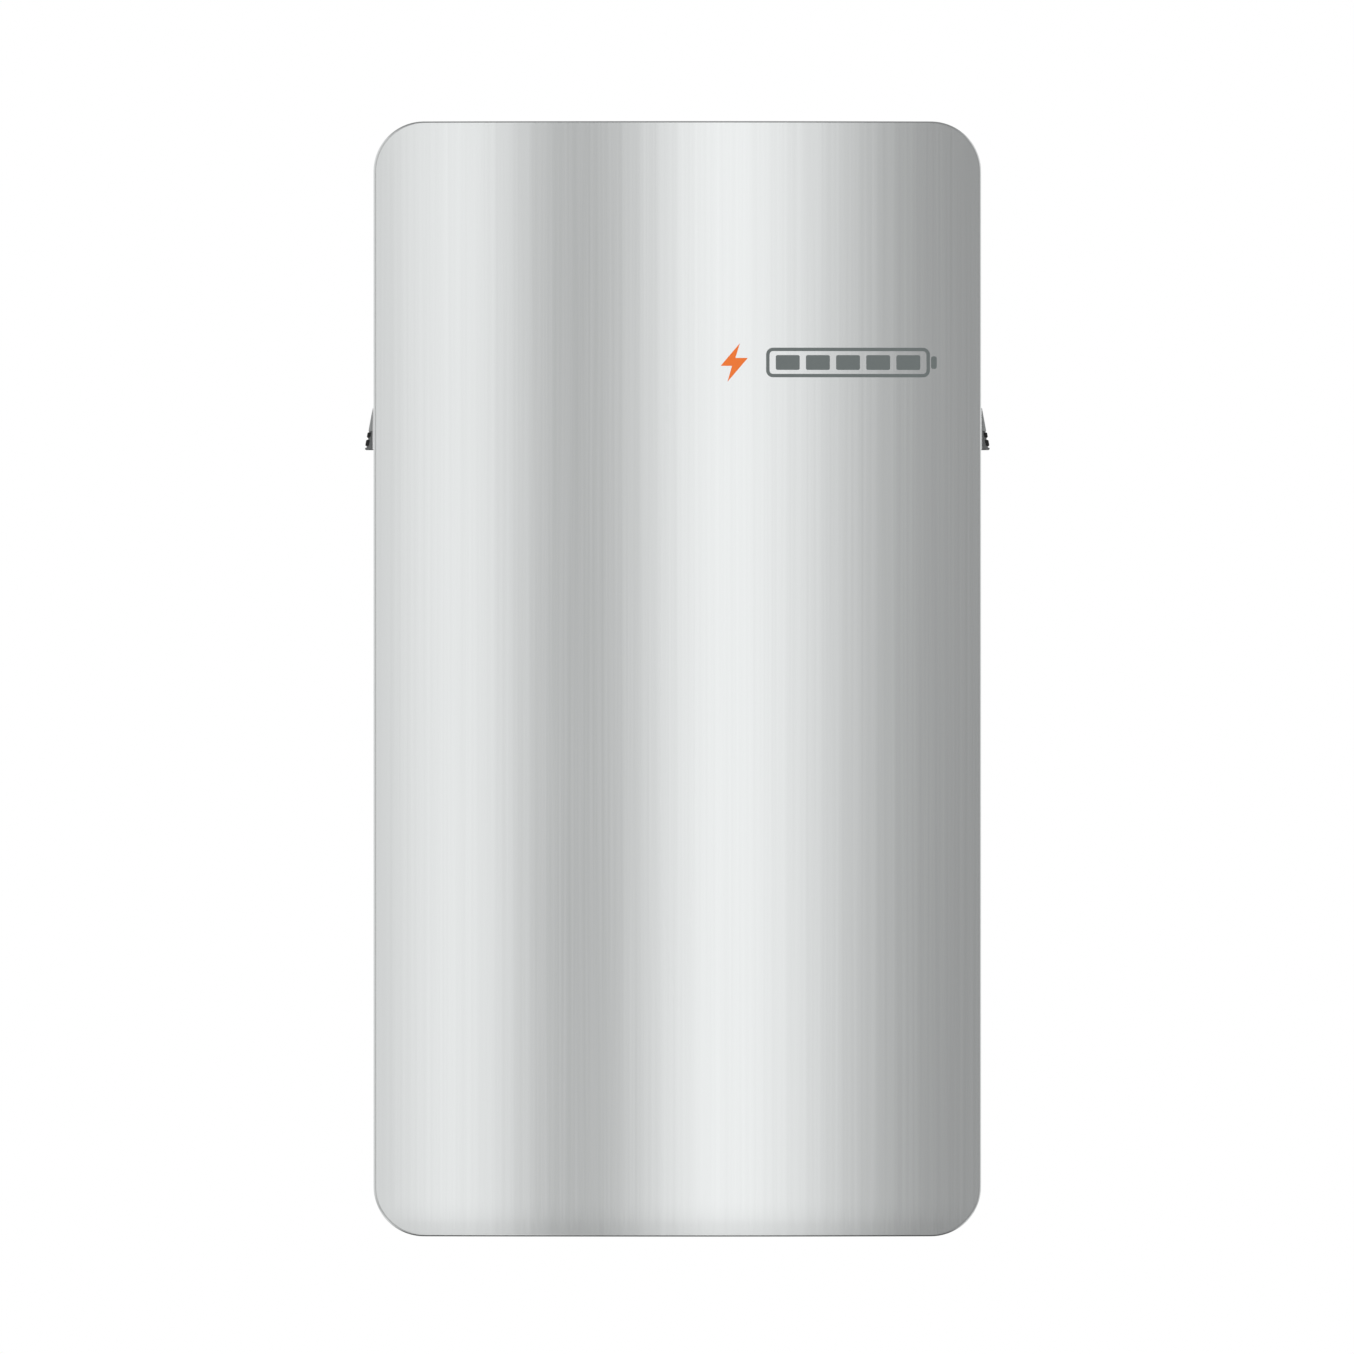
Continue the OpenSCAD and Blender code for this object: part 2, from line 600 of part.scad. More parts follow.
module dc_leads() color("#c8641e") {
  outer_x = stack_x + terminal_dx;
  inner_x = stack_x - terminal_dx;
  last_z = cell_z(cells_per_stack - 1) + cell_t / 2;
  link_z = stack_z0 + 4;
  lead_x(-outer_x - 6, inner_x + 6, terminal_top, link_z);
  for (x = [-outer_x, inner_x]) lead_z(link_z, stack_z0 + 27, terminal_top, x);
  lead_z(last_z - 8, fuse_z + lead_w / 2, terminal_top, inner_x);
  lead_x(inner_x, 79, terminal_top, fuse_z);
  lead_y(fuse_top, terminal_top + busbar_t, 73, fuse_z);
  lead_y(fuse_top, lead_top, 157, fuse_z);
  lead_z(fuse_z, contactor_z + lead_w / 2, contactor_top, 157);
  lead_x(99, 163, contactor_top, contactor_z);
  lead_z(contactor_z - lead_w / 2, dc_entry_z + lead_w / 2, contactor_top, 75);
  lead_x(-6, 81, contactor_top, dc_entry_z);
  lead_z(last_z - 8, 137, terminal_top, -outer_x);
  lead_y(72, terminal_top + busbar_t, -outer_x, 131);
}

module partition_plate() color("silver")
  box([-side_x + housing_t + 0.3, side_x - housing_t - 0.3],
      [housing_floor, rim - rim_t - 0.3], [partition_z, partition_z + 2.5]);

module terminal_block() {
  color("silver") box([-80, 90], [housing_floor, 32], [388, 423]);
  for (i = [0 : 3]) color(i == 3 ? "#3c8c4a" : "#8c9094") difference() {
    box([-50 + i * 28, -24 + i * 28], [32, 84], [terminal_block_z, terminal_block_z + 63]);
    for (z = [382, 429]) rod_y(70, 85, 5, -37 + i * 28, z);
  }
}

module ground_bar() color("#b59a3c") difference() {
  box([-210, -100], [housing_floor, 38], [396, 412]);
  for (x = spread(6, 44)) rod_y(30, 39, 3.2, -155 + x, 404);
}

// ---- Front cover and what it carries ----

module bowed(r) translate([0, bow_r - overall_depth, -cover_h]) cylinder(h = 2 * cover_h, r = r, $fn = 200);

module front_cover() color("#d3d6d6") difference() {
  intersection() {
    slab(cover_back, overall_depth + 1) rounded(cover_w, cover_h, cover_corner_r);
    bowed(bow_r);
  }
  intersection() {
    slab(cover_back - 1, overall_depth + 1)
      rounded(cover_w - 2 * cover_t, cover_h - 2 * cover_t, cover_corner_r - cover_t);
    bowed(bow_r - cover_t);
  }
  for (x = spread(vent_slots, vent_pitch * (vent_slots - 1) / 2))
    box([x - vent_w / 2, x + vent_w / 2], [vent_from, vent_to], [-cover_h, cover_h]);
}

cover_in_x = cover_w / 2 - cover_t;

module cover_frame() color("lightgray") {
  both_sides() difference() {
    union() {
      box([cover_in_x - 1.5, cover_in_x], [143, 160], [-440, 440]);
      box([clip_x - 10, cover_in_x - 1.4], [143, 144.5], [-440, 440]);
    }
    for (z = clip_heights) rod_y(142, 145, 2.05, clip_x, z);
  }
  for (z = [-300, 0, 300]) intersection() {
    box([-236, 236], [150, overall_depth], [z - 15, z + 15]);
    difference() {
      bowed(bow_r - cover_t);
      bowed(bow_r - cover_t - 5);
    }
  }
}

module cover_studs() color("silver") both_sides() for (z = clip_heights) {
  rod_y(144.5, 146.5, 4, clip_x, z);
  rod_y(139.5, 144.5, 2, clip_x, z);
  translate([clip_x, -138, z]) sphere(r = 3.6);
}

// Generic printed mark: a bolt and a five-bar charge gauge, as a thin film on the bow.
badge_z = 278;
module badge() intersection() {
  difference() {
    bowed(bow_r + 0.2);
    bowed(bow_r);
  }
  translate([0, 0, badge_z]) {
    color("#ee7623") slab(150, overall_depth)
      polygon([[55, 17], [38, -3], [48, -3], [44, -17], [62, 4], [51, 4]]);
    color("#6d7474") translate([150, 0, 0]) {
      slab(150, overall_depth) difference() {
        rounded(144, 26, 6);
        rounded(138, 20, 3.5);
      }
      for (x = spread(5, 53)) translate([x, 0, 0]) slab(150, overall_depth) rounded(21, 13, 1.5);
      translate([75.5, 0, 0]) slab(150, overall_depth) rounded(5, 11, 2);
    }
  }
}

// ---- Nodes ----

wall_bracket();
housing();
hanger_rail_upper();
hanger_rail_lower();
securing_screws();
housing_gasket();
lid();
lid_screws();
wiring_cover();
wiring_cover_gasket();
m4_screws();
gland_plate();
top_entry_plug();
breather_vent();
cover_seal();
cover_clips();
inverter(0);  // inverter_1
inverter(1);  // inverter_2
inverter(2);  // inverter_3
inverter(3);  // inverter_4
inverter(4);  // inverter_5
inverter(5);  // inverter_6
inverter_screws();
dc_harness();
ac_harness();
cable_grommets();
harness_clips();
handle_pocket("left");  // handle_pocket_left
handle_pocket("right");  // handle_pocket_right
handle_plate("left");  // handle_plate_left
handle_plate("right");  // handle_plate_right
handle_cup("left");  // handle_cup_left
handle_cup("right");  // handle_cup_right
handle_grip("left");  // handle_grip_left
handle_grip("right");  // handle_grip_right
switch_bezel();
switch_body();
switch_knob();
status_lens();
cell_stack(-stack_x);  // cells_left
cell_stack(stack_x);  // cells_right
cell_spacers();
end_plates();
stack_bands();
busbars();
busbar_covers();
pack_pads();
bms_board();
bms_parts();
main_fuse();
contactor();
dc_leads();
partition_plate();
terminal_block();
ground_bar();
rating_plate();
front_cover();
cover_frame();
cover_studs();
badge();
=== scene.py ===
"""Looks of a wall-hung battery unit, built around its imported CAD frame.

Every class is one sub-assembly: it holds its sizes in millimetres, shapes its pieces with bmesh
operators and hands them to the workshop, which dresses them and lets them ride on their bodies.
The frame is the CAD's: X to the viewer's right, Z up, and the wall at Y = 0. A "depth" is a
distance out from the wall, so a point at depth d has Y = -d.
"""

from __future__ import annotations

import json
import logging
import math
from dataclasses import dataclass, field
from enum import Enum
from itertools import product
from typing import Callable, Iterable, Sequence

import bmesh
import bpy
from mathutils import Matrix, Vector

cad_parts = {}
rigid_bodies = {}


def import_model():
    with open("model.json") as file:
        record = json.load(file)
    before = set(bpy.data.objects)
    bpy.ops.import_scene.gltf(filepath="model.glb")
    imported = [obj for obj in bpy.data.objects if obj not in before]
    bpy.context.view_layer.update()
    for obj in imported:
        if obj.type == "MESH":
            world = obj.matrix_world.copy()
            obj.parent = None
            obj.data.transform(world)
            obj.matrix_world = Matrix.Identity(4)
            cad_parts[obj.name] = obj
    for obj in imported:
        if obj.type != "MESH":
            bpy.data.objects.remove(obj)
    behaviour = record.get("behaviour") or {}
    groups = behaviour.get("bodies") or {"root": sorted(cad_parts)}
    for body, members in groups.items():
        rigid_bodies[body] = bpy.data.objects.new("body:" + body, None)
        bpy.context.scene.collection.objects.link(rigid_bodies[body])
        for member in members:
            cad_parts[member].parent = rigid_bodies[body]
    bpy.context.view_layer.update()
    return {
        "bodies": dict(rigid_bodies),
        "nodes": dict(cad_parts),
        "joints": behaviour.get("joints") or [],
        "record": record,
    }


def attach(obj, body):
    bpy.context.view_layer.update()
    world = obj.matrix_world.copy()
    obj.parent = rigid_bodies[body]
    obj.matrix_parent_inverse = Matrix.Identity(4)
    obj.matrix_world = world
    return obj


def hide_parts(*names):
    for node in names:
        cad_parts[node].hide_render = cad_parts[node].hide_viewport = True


LOG = logging.getLogger("wall_battery")
MM = 0.001
# In millimetres: nearer than CLOSE counts as touching, and nearer than MERGE as one point.
CLOSE, MERGE = 0.01, 0.0005
Span = tuple[float, float]
Colour = tuple[float, float, float]
Points = Sequence[Span]
Vert, Edge, Face = bmesh.types.BMVert, bmesh.types.BMEdge, bmesh.types.BMFace
Object, Node, Socket = bpy.types.Object, bpy.types.Node, bpy.types.NodeSocket


class Body(Enum):
    """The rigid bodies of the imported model."""

    UNIT = "unit"
    COVER = "cover"
    SWITCH = "switch"


class Axis(Enum):
    """A direction that a rod, a turned part or a cut is lined up with."""

    X = (1.0, 0.0, 0.0)
    Y = (0.0, 1.0, 0.0)
    Z = (0.0, 0.0, 1.0)

    @property
    def vector(self) -> Vector:
        """The axis as a vector."""
        return Vector(self.value)

    @property
    def index(self) -> int:
        """0, 1 or 2 for X, Y or Z."""
        return self.value.index(1.0)


class Side(Enum):
    """The two sides of the unit, as the sign of X."""

    LEFT = -1
    RIGHT = 1

    @property
    def tail(self) -> str:
        """The end of the names of that side's nodes and pieces."""
        return f"_{self.name.lower()}"


def spread(count: int, reach: float) -> list[float]:
    """That many evenly spaced values from -reach to reach, at least two."""
    return [-reach + 2 * reach * i / (count - 1) for i in range(count)]


# ---- Shader tools ----


class Expression:
    """A number that a shader works out, written with Python's own operators."""

    def __init__(self, tree: bpy.types.NodeTree, socket: Socket) -> None:
        """Wraps an output socket of a node tree."""
        self.tree = tree
        self.socket = socket

    def _math(self, operation: str, *values: Expression | float) -> Expression:
        """Adds one Math node.

        Args:
            operation: the node's operation.
            values: its inputs, in order.

        Returns:
            The node's result.
        """
        node = self.tree.nodes.new("ShaderNodeMath")
        node.operation = operation
        for slot, value in zip(node.inputs, values):
            if isinstance(value, Expression):
                self.tree.links.new(value.socket, slot)
            else:
                slot.default_value = value
        return Expression(self.tree, node.outputs[0])

    def __add__(self, other: Expression | float) -> Expression:
        """self + other."""
        return self._math("ADD", self, other)

    def __radd__(self, other: float) -> Expression:
        """other + self."""
        return self._math("ADD", other, self)

    def __sub__(self, other: Expression | float) -> Expression:
        """self - other."""
        return self._math("SUBTRACT", self, other)

    def __rsub__(self, other: float) -> Expression:
        """other - self."""
        return self._math("SUBTRACT", other, self)

    def __mul__(self, other: Expression | float) -> Expression:
        """self * other."""
        return self._math("MULTIPLY", self, other)

    def __rmul__(self, other: float) -> Expression:
        """other * self."""
        return self._math("MULTIPLY", other, self)

    def __neg__(self) -> Expression:
        """-self."""
        return self._math("MULTIPLY", self, -1.0)

    def __abs__(self) -> Expression:
        """The size of self, without its sign."""
        return self._math("ABSOLUTE", self)

    def angle_to(self, other: Expression) -> Expression:
        """The angle whose tangent is self / other, over the full turn."""
        return self._math("ARCTAN2", self, other)

    def clamped(self) -> Expression:
        """Self, kept between 0 and 1."""
        return self._math("MINIMUM", self._math("MAXIMUM", self, 0.0), 1.0)

    def ramp(self, low: float, high: float) -> Expression:
        """0 up to low and 1 from high on, or the reverse when low is the larger."""
        return ((self - low) * (1.0 / (high - low))).clamped()


class Shader:
    """A node tree being filled, for a material or for the world."""

    def __init__(self, tree: bpy.types.NodeTree) -> None:
        """Starts on an emptied tree."""
        self.tree = tree
        tree.nodes.clear()

    def node(self, kind: str, settings: dict | None = None, inputs: dict | None = None) -> Node:
        """Adds a node.

        Args:
            kind: the node's type.
            settings: attributes to set first; a ramp's "stops" are (place, colour) pairs.
            inputs: values or links, by socket name or number.

        Returns:
            The new node.
        """
        made = self.tree.nodes.new(kind)
        for name, value in (settings or {}).items():
            if name == "stops":
                elements = made.color_ramp.elements
                while len(elements) < len(value):
                    elements.new(0.5)
                for element, (place, colour) in zip(elements, value):
                    element.position = place
                    element.color = (*colour, 1.0)
            elif name == "interpolation":
                made.color_ramp.interpolation = value
            else:
                setattr(made, name, value)
        for name, value in (inputs or {}).items():
            slot = made.inputs[name]
            if isinstance(value, Expression):
                self.tree.links.new(value.socket, slot)
            elif isinstance(value, Socket):
                self.tree.links.new(value, slot)
            else:
                slot.default_value = value
        return made

    def value(self, node: Node, output: str | int = 0) -> Expression:
        """One output of a node as an expression."""
        return Expression(self.tree, node.outputs[output])

    def noise(self, scale: Sequence[float], detail: float = 2.0) -> Expression:
        """Noise on the piece's own coordinates.

        Args:
            scale: features per metre along X, Y and Z.
            detail: octaves of the noise.

        Returns:
            The noise, around 0.5.
        """
        place = self.node("ShaderNodeTexCoord").outputs["Object"]
        mapped = self.node("ShaderNodeMapping", {"vector_type": "POINT"}, {"Vector": place, "Scale": scale})
        inputs = {"Vector": mapped.outputs[0], "Scale": 1.0, "Detail": detail}
        return self.value(self.node("ShaderNodeTexNoise", {}, inputs), "Fac")

    def tint(self, amount: Expression, dark: Colour, light: Colour) -> Socket:
        """A colour between two others.

        Args:
            amount: 0 for dark and 1 for light.
            dark: the first colour.
            light: the second colour.

        Returns:
            The colour's socket.
        """
        inputs = {0: amount.clamped(), 6: (*dark, 1.0), 7: (*light, 1.0)}
        mixed = self.node("ShaderNodeMix", {"data_type": "RGBA"}, inputs)
        return mixed.outputs[2]

    def bump(self, height: Expression, strength: float, distance: float) -> Socket:
        """A normal bumped by a height of 0 to 1, where 1 stands for a distance in metres."""
        inputs = {"Height": height, "Strength": strength, "Distance": distance}
        return self.node("ShaderNodeBump", {}, inputs).outputs[0]


def shade(colour: Colour, factor: float) -> Colour:
    """A colour times a factor, kept at or below 1."""
    return tuple(min(1.0, c * factor) for c in colour)


@dataclass(frozen=True)
class Finish:
    """One finish, named after the record's material slot that it dresses, where it has one.

    Every subclass adds what changes over the surface; the numbers here are the same all over.
    """

    slot: str
    colour: Colour
    roughness: float = 0.5
    metallic: float = 0.0
    coat: float = 0.0

    def material(self) -> bpy.types.Material:
        """Makes the material.

        Returns:
            The new material.
        """
        made = bpy.data.materials.new(self.slot)
        made.use_nodes = True
        shader = Shader(made.node_tree)
        inputs = {
            "Base Color": (*self.colour, 1.0),
            "Roughness": self.roughness,
            "Metallic": self.metallic,
            "Coat Weight": self.coat,
            "Coat Roughness": 0.12,
        }
        inputs.update(self.surface(shader))
        surface = shader.node("ShaderNodeBsdfPrincipled", {}, inputs)
        shader.node("ShaderNodeOutputMaterial", {}, {"Surface": surface.outputs[0]})
        return made

    def surface(self, shader: Shader) -> dict:
        """What changes over the surface, as links or values by socket name."""
        grain = shader.noise((40.0, 40.0, 40.0))
        return {"Base Color": shader.tint(grain, shade(self.colour, 0.94), shade(self.colour, 1.06))}


@dataclass(frozen=True)
class BrushedSheet(Finish):
    """Bare sheet metal with upright brush lines."""

    line: float = 0.020

    def surface(self, shader: Shader) -> dict:
        """Fine lines for the bump, broader ones for tone, and a slow drift over the sheet.

        Args:
            shader: the material's shader.

        Returns:
            Links or values by socket name.
        """
        fine = shader.noise((2600.0, 2600.0, 9.0), 1.0)
        lines = shader.noise((620.0, 620.0, 2.5), 2.0)
        broad = shader.noise((260.0, 260.0, 0.8), 2.0)
        drift = shader.noise((5.0, 5.0, 3.0), 1.0)
        tone = (lines - 0.5) * 0.9 + (broad - 0.5) * 0.9 + (drift - 0.5) * 0.2 + 0.5
        low, high = shade(self.colour, 1.0 - 2 * self.line), shade(self.colour, 1.0 + 2 * self.line)
        return {
            "Base Color": shader.tint(tone, low, high),
            "Roughness": (lines - 0.5) * 0.03 + (drift - 0.5) * 0.02 + self.roughness,
            "Normal": shader.bump(fine * 0.7 + lines * 0.3, 0.05, 0.00003),
        }


@dataclass(frozen=True)
class RolledMetal(Finish):
    """Mill or satin aluminium and plated steel: faint rolling lines and cloudy patches."""

    lines: Sequence[float] = (900.0, 900.0, 30.0)
    clouds: float = 30.0

    def surface(self, shader: Shader) -> dict:
        """Rolling lines in the bump and clouds in the tone and the gloss.

        Args:
            shader: the material's shader.

        Returns:
            Links or values by socket name.
        """
        rolled = shader.noise(self.lines, 2.0)
        cloud = shader.noise((self.clouds,) * 3, 3.0)
        tone = (cloud - 0.5) * 0.8 + (rolled - 0.5) * 0.5 + 0.5
        return {
            "Base Color": shader.tint(tone, shade(self.colour, 0.88), shade(self.colour, 1.10)),
            "Roughness": (cloud - 0.5) * 0.16 + self.roughness,
            "Normal": shader.bump(rolled, 0.15, 0.00006),
        }


@dataclass(frozen=True)
class PowderCoat(Finish):
    """Baked powder paint, with its orange-peel texture and a fine speckle."""

    peel: float = 420.0

    def surface(self, shader: Shader) -> dict:
        """Orange peel in the bump, speckle in the tone, a little dust in the gloss.

        Args:
            shader: the material's shader.

        Returns:
            Links or values by socket name.
        """
        peel = shader.noise((self.peel,) * 3, 2.0)
        speckle = shader.noise((1900.0,) * 3, 1.0)
        dust = shader.noise((7.0, 7.0, 4.0), 4.0)
        tone = (speckle - 0.5) * 0.6 + (dust - 0.5) * 0.5 + 0.5
        return {
            "Base Color": shader.tint(tone, shade(self.colour, 0.93), shade(self.colour, 1.05)),
            "Roughness": (dust - 0.5) * 0.18 + (peel - 0.5) * 0.1 + self.roughness,
            "Normal": shader.bump(peel * 0.8 + speckle * 0.2, 0.35, 0.00025),
        }


@dataclass(frozen=True)
class MouldedPlastic(Finish):
    """Injection-moulded plastic with an etched mould texture."""

    texture: float = 900.0
    relief: float = 0.0001

    def surface(self, shader: Shader) -> dict:
        """Etched texture in the bump and flow marks in the gloss.

        Args:
            shader: the material's shader.

        Returns:
            Links or values by socket name.
        """
        etched = shader.noise((self.texture,) * 3, 2.0)
        flow = shader.noise((18.0, 18.0, 9.0), 3.0)
        tone = (flow - 0.5) * 0.7 + (etched - 0.5) * 0.5 + 0.5
        return {
            "Base Color": shader.tint(tone, shade(self.colour, 0.90), shade(self.colour, 1.10)),
            "Roughness": (etched - 0.5) * 0.12 + (flow - 0.5) * 0.1 + self.roughness,
            "Normal": shader.bump(etched, 0.3, self.relief),
        }


@dataclass(frozen=True)
class SoftRubber(Finish):
    """Rubber and cable jacket: matte, with a chalky bloom in places."""

    def surface(self, shader: Shader) -> dict:
        """Bloom in the tone and the gloss, and a fine skin texture.

        Args:
            shader: the material's shader.

        Returns:
            Links or values by socket name.
        """
        bloom = shader.noise((55.0,) * 3, 4.0)
        skin = shader.noise((1400.0,) * 3, 1.0)
        return {
            "Base Color": shader.tint(bloom.ramp(0.42, 0.75), self.colour, shade(self.colour, 1.5)),
            "Roughness": (bloom - 0.5) * 0.2 + self.roughness,
            "Normal": shader.bump(skin, 0.25, 0.00008),
        }


@dataclass(frozen=True)
class Lamp(Finish):
    """A diffusing lens with a soft glow from behind."""

    glow: Colour = (0.16, 0.55, 1.0)
    strength: float = 0.22

    def surface(self, shader: Shader) -> dict:
        """A milky body, and a glow that is uneven like a row of small lamps behind it.

        Args:
            shader: the material's shader.

        Returns:
            Links or values by socket name.
        """
        milk = shader.noise((300.0,) * 3, 1.0)
        lamps = shader.noise((60.0, 60.0, 110.0), 0.0)
        return {
            "Base Color": shader.tint(milk, shade(self.colour, 0.95), self.colour),
            "Emission Color": shader.tint(lamps.ramp(0.25, 0.7), shade(self.glow, 0.45), self.glow),
            "Emission Strength": self.strength,
        }


@dataclass(frozen=True)
class PaleFloor(Finish):
    """Plain matte paint on the studio floor."""

    def surface(self, shader: Shader) -> dict:
        """A drift so slow and faint that the floor still looks plain."""
        drift = shader.noise((0.5, 0.5, 0.5), 0.0)
        return {"Base Color": shader.tint(drift, shade(self.colour, 0.99), self.colour)}


@dataclass(frozen=True)
class CircuitBoard(Finish):
    """Solder mask over copper, with the traces standing a little proud."""

    def surface(self, shader: Shader) -> dict:
        """Straight traces both ways, lighter than the mask.

        Args:
            shader: the material's shader.

        Returns:
            Links or values by socket name.
        """
        across = shader.noise((14.0, 14.0, 420.0), 0.0)
        along = shader.noise((420.0, 14.0, 14.0), 0.0)
        traces = (across.ramp(0.52, 0.56) + along.ramp(0.55, 0.59)).clamped()
        return {
            "Base Color": shader.tint(traces, self.colour, shade(self.colour, 2.0)),
            "Normal": shader.bump(traces, 0.4, 0.00005),
        }


FINISHES: tuple[Finish, ...] = (
    BrushedSheet("cover_metal", (0.905, 0.925, 0.924), 0.18, 1.0, 0.0),
    RolledMetal("cover_inner", (0.60, 0.61, 0.62), 0.42, 1.0),
    PowderCoat("housing_paint", (0.50, 0.52, 0.52), 0.46, 0.0, 0.1),
    RolledMetal("lid_metal", (0.72, 0.73, 0.74), 0.36, 1.0),
    PowderCoat("bracket_steel", (0.42, 0.43, 0.43), 0.50),
    RolledMetal("plated_steel", (0.66, 0.67, 0.68), 0.34, 1.0, lines=(60.0, 900.0, 900.0), clouds=90.0),
    RolledMetal("fastener_steel", (0.60, 0.61, 0.62), 0.28, 1.0, clouds=400.0),
    SoftRubber("seal_rubber", (0.018, 0.018, 0.018), 0.75),
    SoftRubber("pad_rubber", (0.28, 0.30, 0.32), 0.8),
    MouldedPlastic("dark_plastic", (0.028, 0.028, 0.031), 0.5),
    MouldedPlastic("clip_plastic", (0.72, 0.72, 0.70), 0.38, texture=500.0, relief=0.00004),
    MouldedPlastic("inverter_plastic", (0.045, 0.047, 0.051), 0.52, texture=700.0, relief=0.00016),
    MouldedPlastic("pocket_plastic", (0.10, 0.104, 0.108), 0.5, texture=600.0, relief=0.00014),
    MouldedPlastic("trim_plastic", (0.93, 0.94, 0.94), 0.4, texture=700.0, relief=0.00005),
    MouldedPlastic("handle_grey", (0.33, 0.34, 0.34), 0.42, texture=800.0, relief=0.00006),
    SoftRubber("grip_black", (0.010, 0.010, 0.010), 0.6),
    MouldedPlastic("knob_red", (0.50, 0.045, 0.025), 0.32, 0.0, 0.3, texture=500.0, relief=0.00004),
    Lamp("lens_clear", (0.78, 0.84, 0.88), 0.25),
    MouldedPlastic("cell_can", (0.07, 0.16, 0.36), 0.35, texture=200.0, relief=0.00005),
    MouldedPlastic("spacer_plastic", (0.70, 0.68, 0.60), 0.55),
    RolledMetal("busbar_metal", (0.78, 0.56, 0.36), 0.3, 1.0, clouds=120.0),
    MouldedPlastic("lead_metal", (0.62, 0.20, 0.04), 0.4),
    CircuitBoard("circuit_board", (0.015, 0.12, 0.045), 0.35, 0.0, 0.4),
    MouldedPlastic("board_parts", (0.035, 0.035, 0.04), 0.35, texture=1500.0, relief=0.00003),
    SoftRubber("dc_cable", (0.56, 0.13, 0.015), 0.48),
    SoftRubber("ac_cable", (0.020, 0.020, 0.022), 0.5),
    MouldedPlastic("terminal_plastic", (0.30, 0.31, 0.32), 0.45),
    RolledMetal("label_foil", (0.82, 0.83, 0.83), 0.35, 0.3, lines=(20.0, 900.0, 900.0)),
    MouldedPlastic("badge_print", (0.130, 0.150, 0.148), 0.45, texture=400.0, relief=0.00001),
)
EXTRA_FINISHES: tuple[Finish, ...] = (
    MouldedPlastic("mark_orange", (0.82, 0.165, 0.013), 0.45, texture=400.0, relief=0.00001),
    MouldedPlastic("handle_dark", (0.15, 0.155, 0.155), 0.45, texture=800.0, relief=0.00006),
)


# ---- Mesh tools ----


def shade_by_angle(shape: bmesh.types.BMesh, degrees: float) -> None:
    """Shades a mesh smooth, but for the edges that turn by more than an angle.

    Args:
        shape: the mesh.
        degrees: the angle.
    """
    for face in shape.faces:
        face.smooth = True
    for edge in shape.edges:
        edge.smooth = edge.calc_face_angle(math.pi) < math.radians(degrees)


def faces_of(verts: Iterable[Vert]) -> list[Face]:
    """The faces at these vertices."""
    return list({f for v in verts if v.is_valid for f in v.link_faces})


def lies_at(part: Edge | Face, axis: Axis, place: float) -> bool:
    """Whether an edge or a face lies at a place along an axis, which on Y is a depth."""
    where = -place if axis is Axis.Y else place
    return all(abs(v.co[axis.index] - where) < CLOSE for v in part.verts)


def is_sharp(edge: Edge) -> bool:
    """Whether the faces at an edge meet at more than 30 degrees."""
    return edge.calc_face_angle(0.0) > math.radians(30)


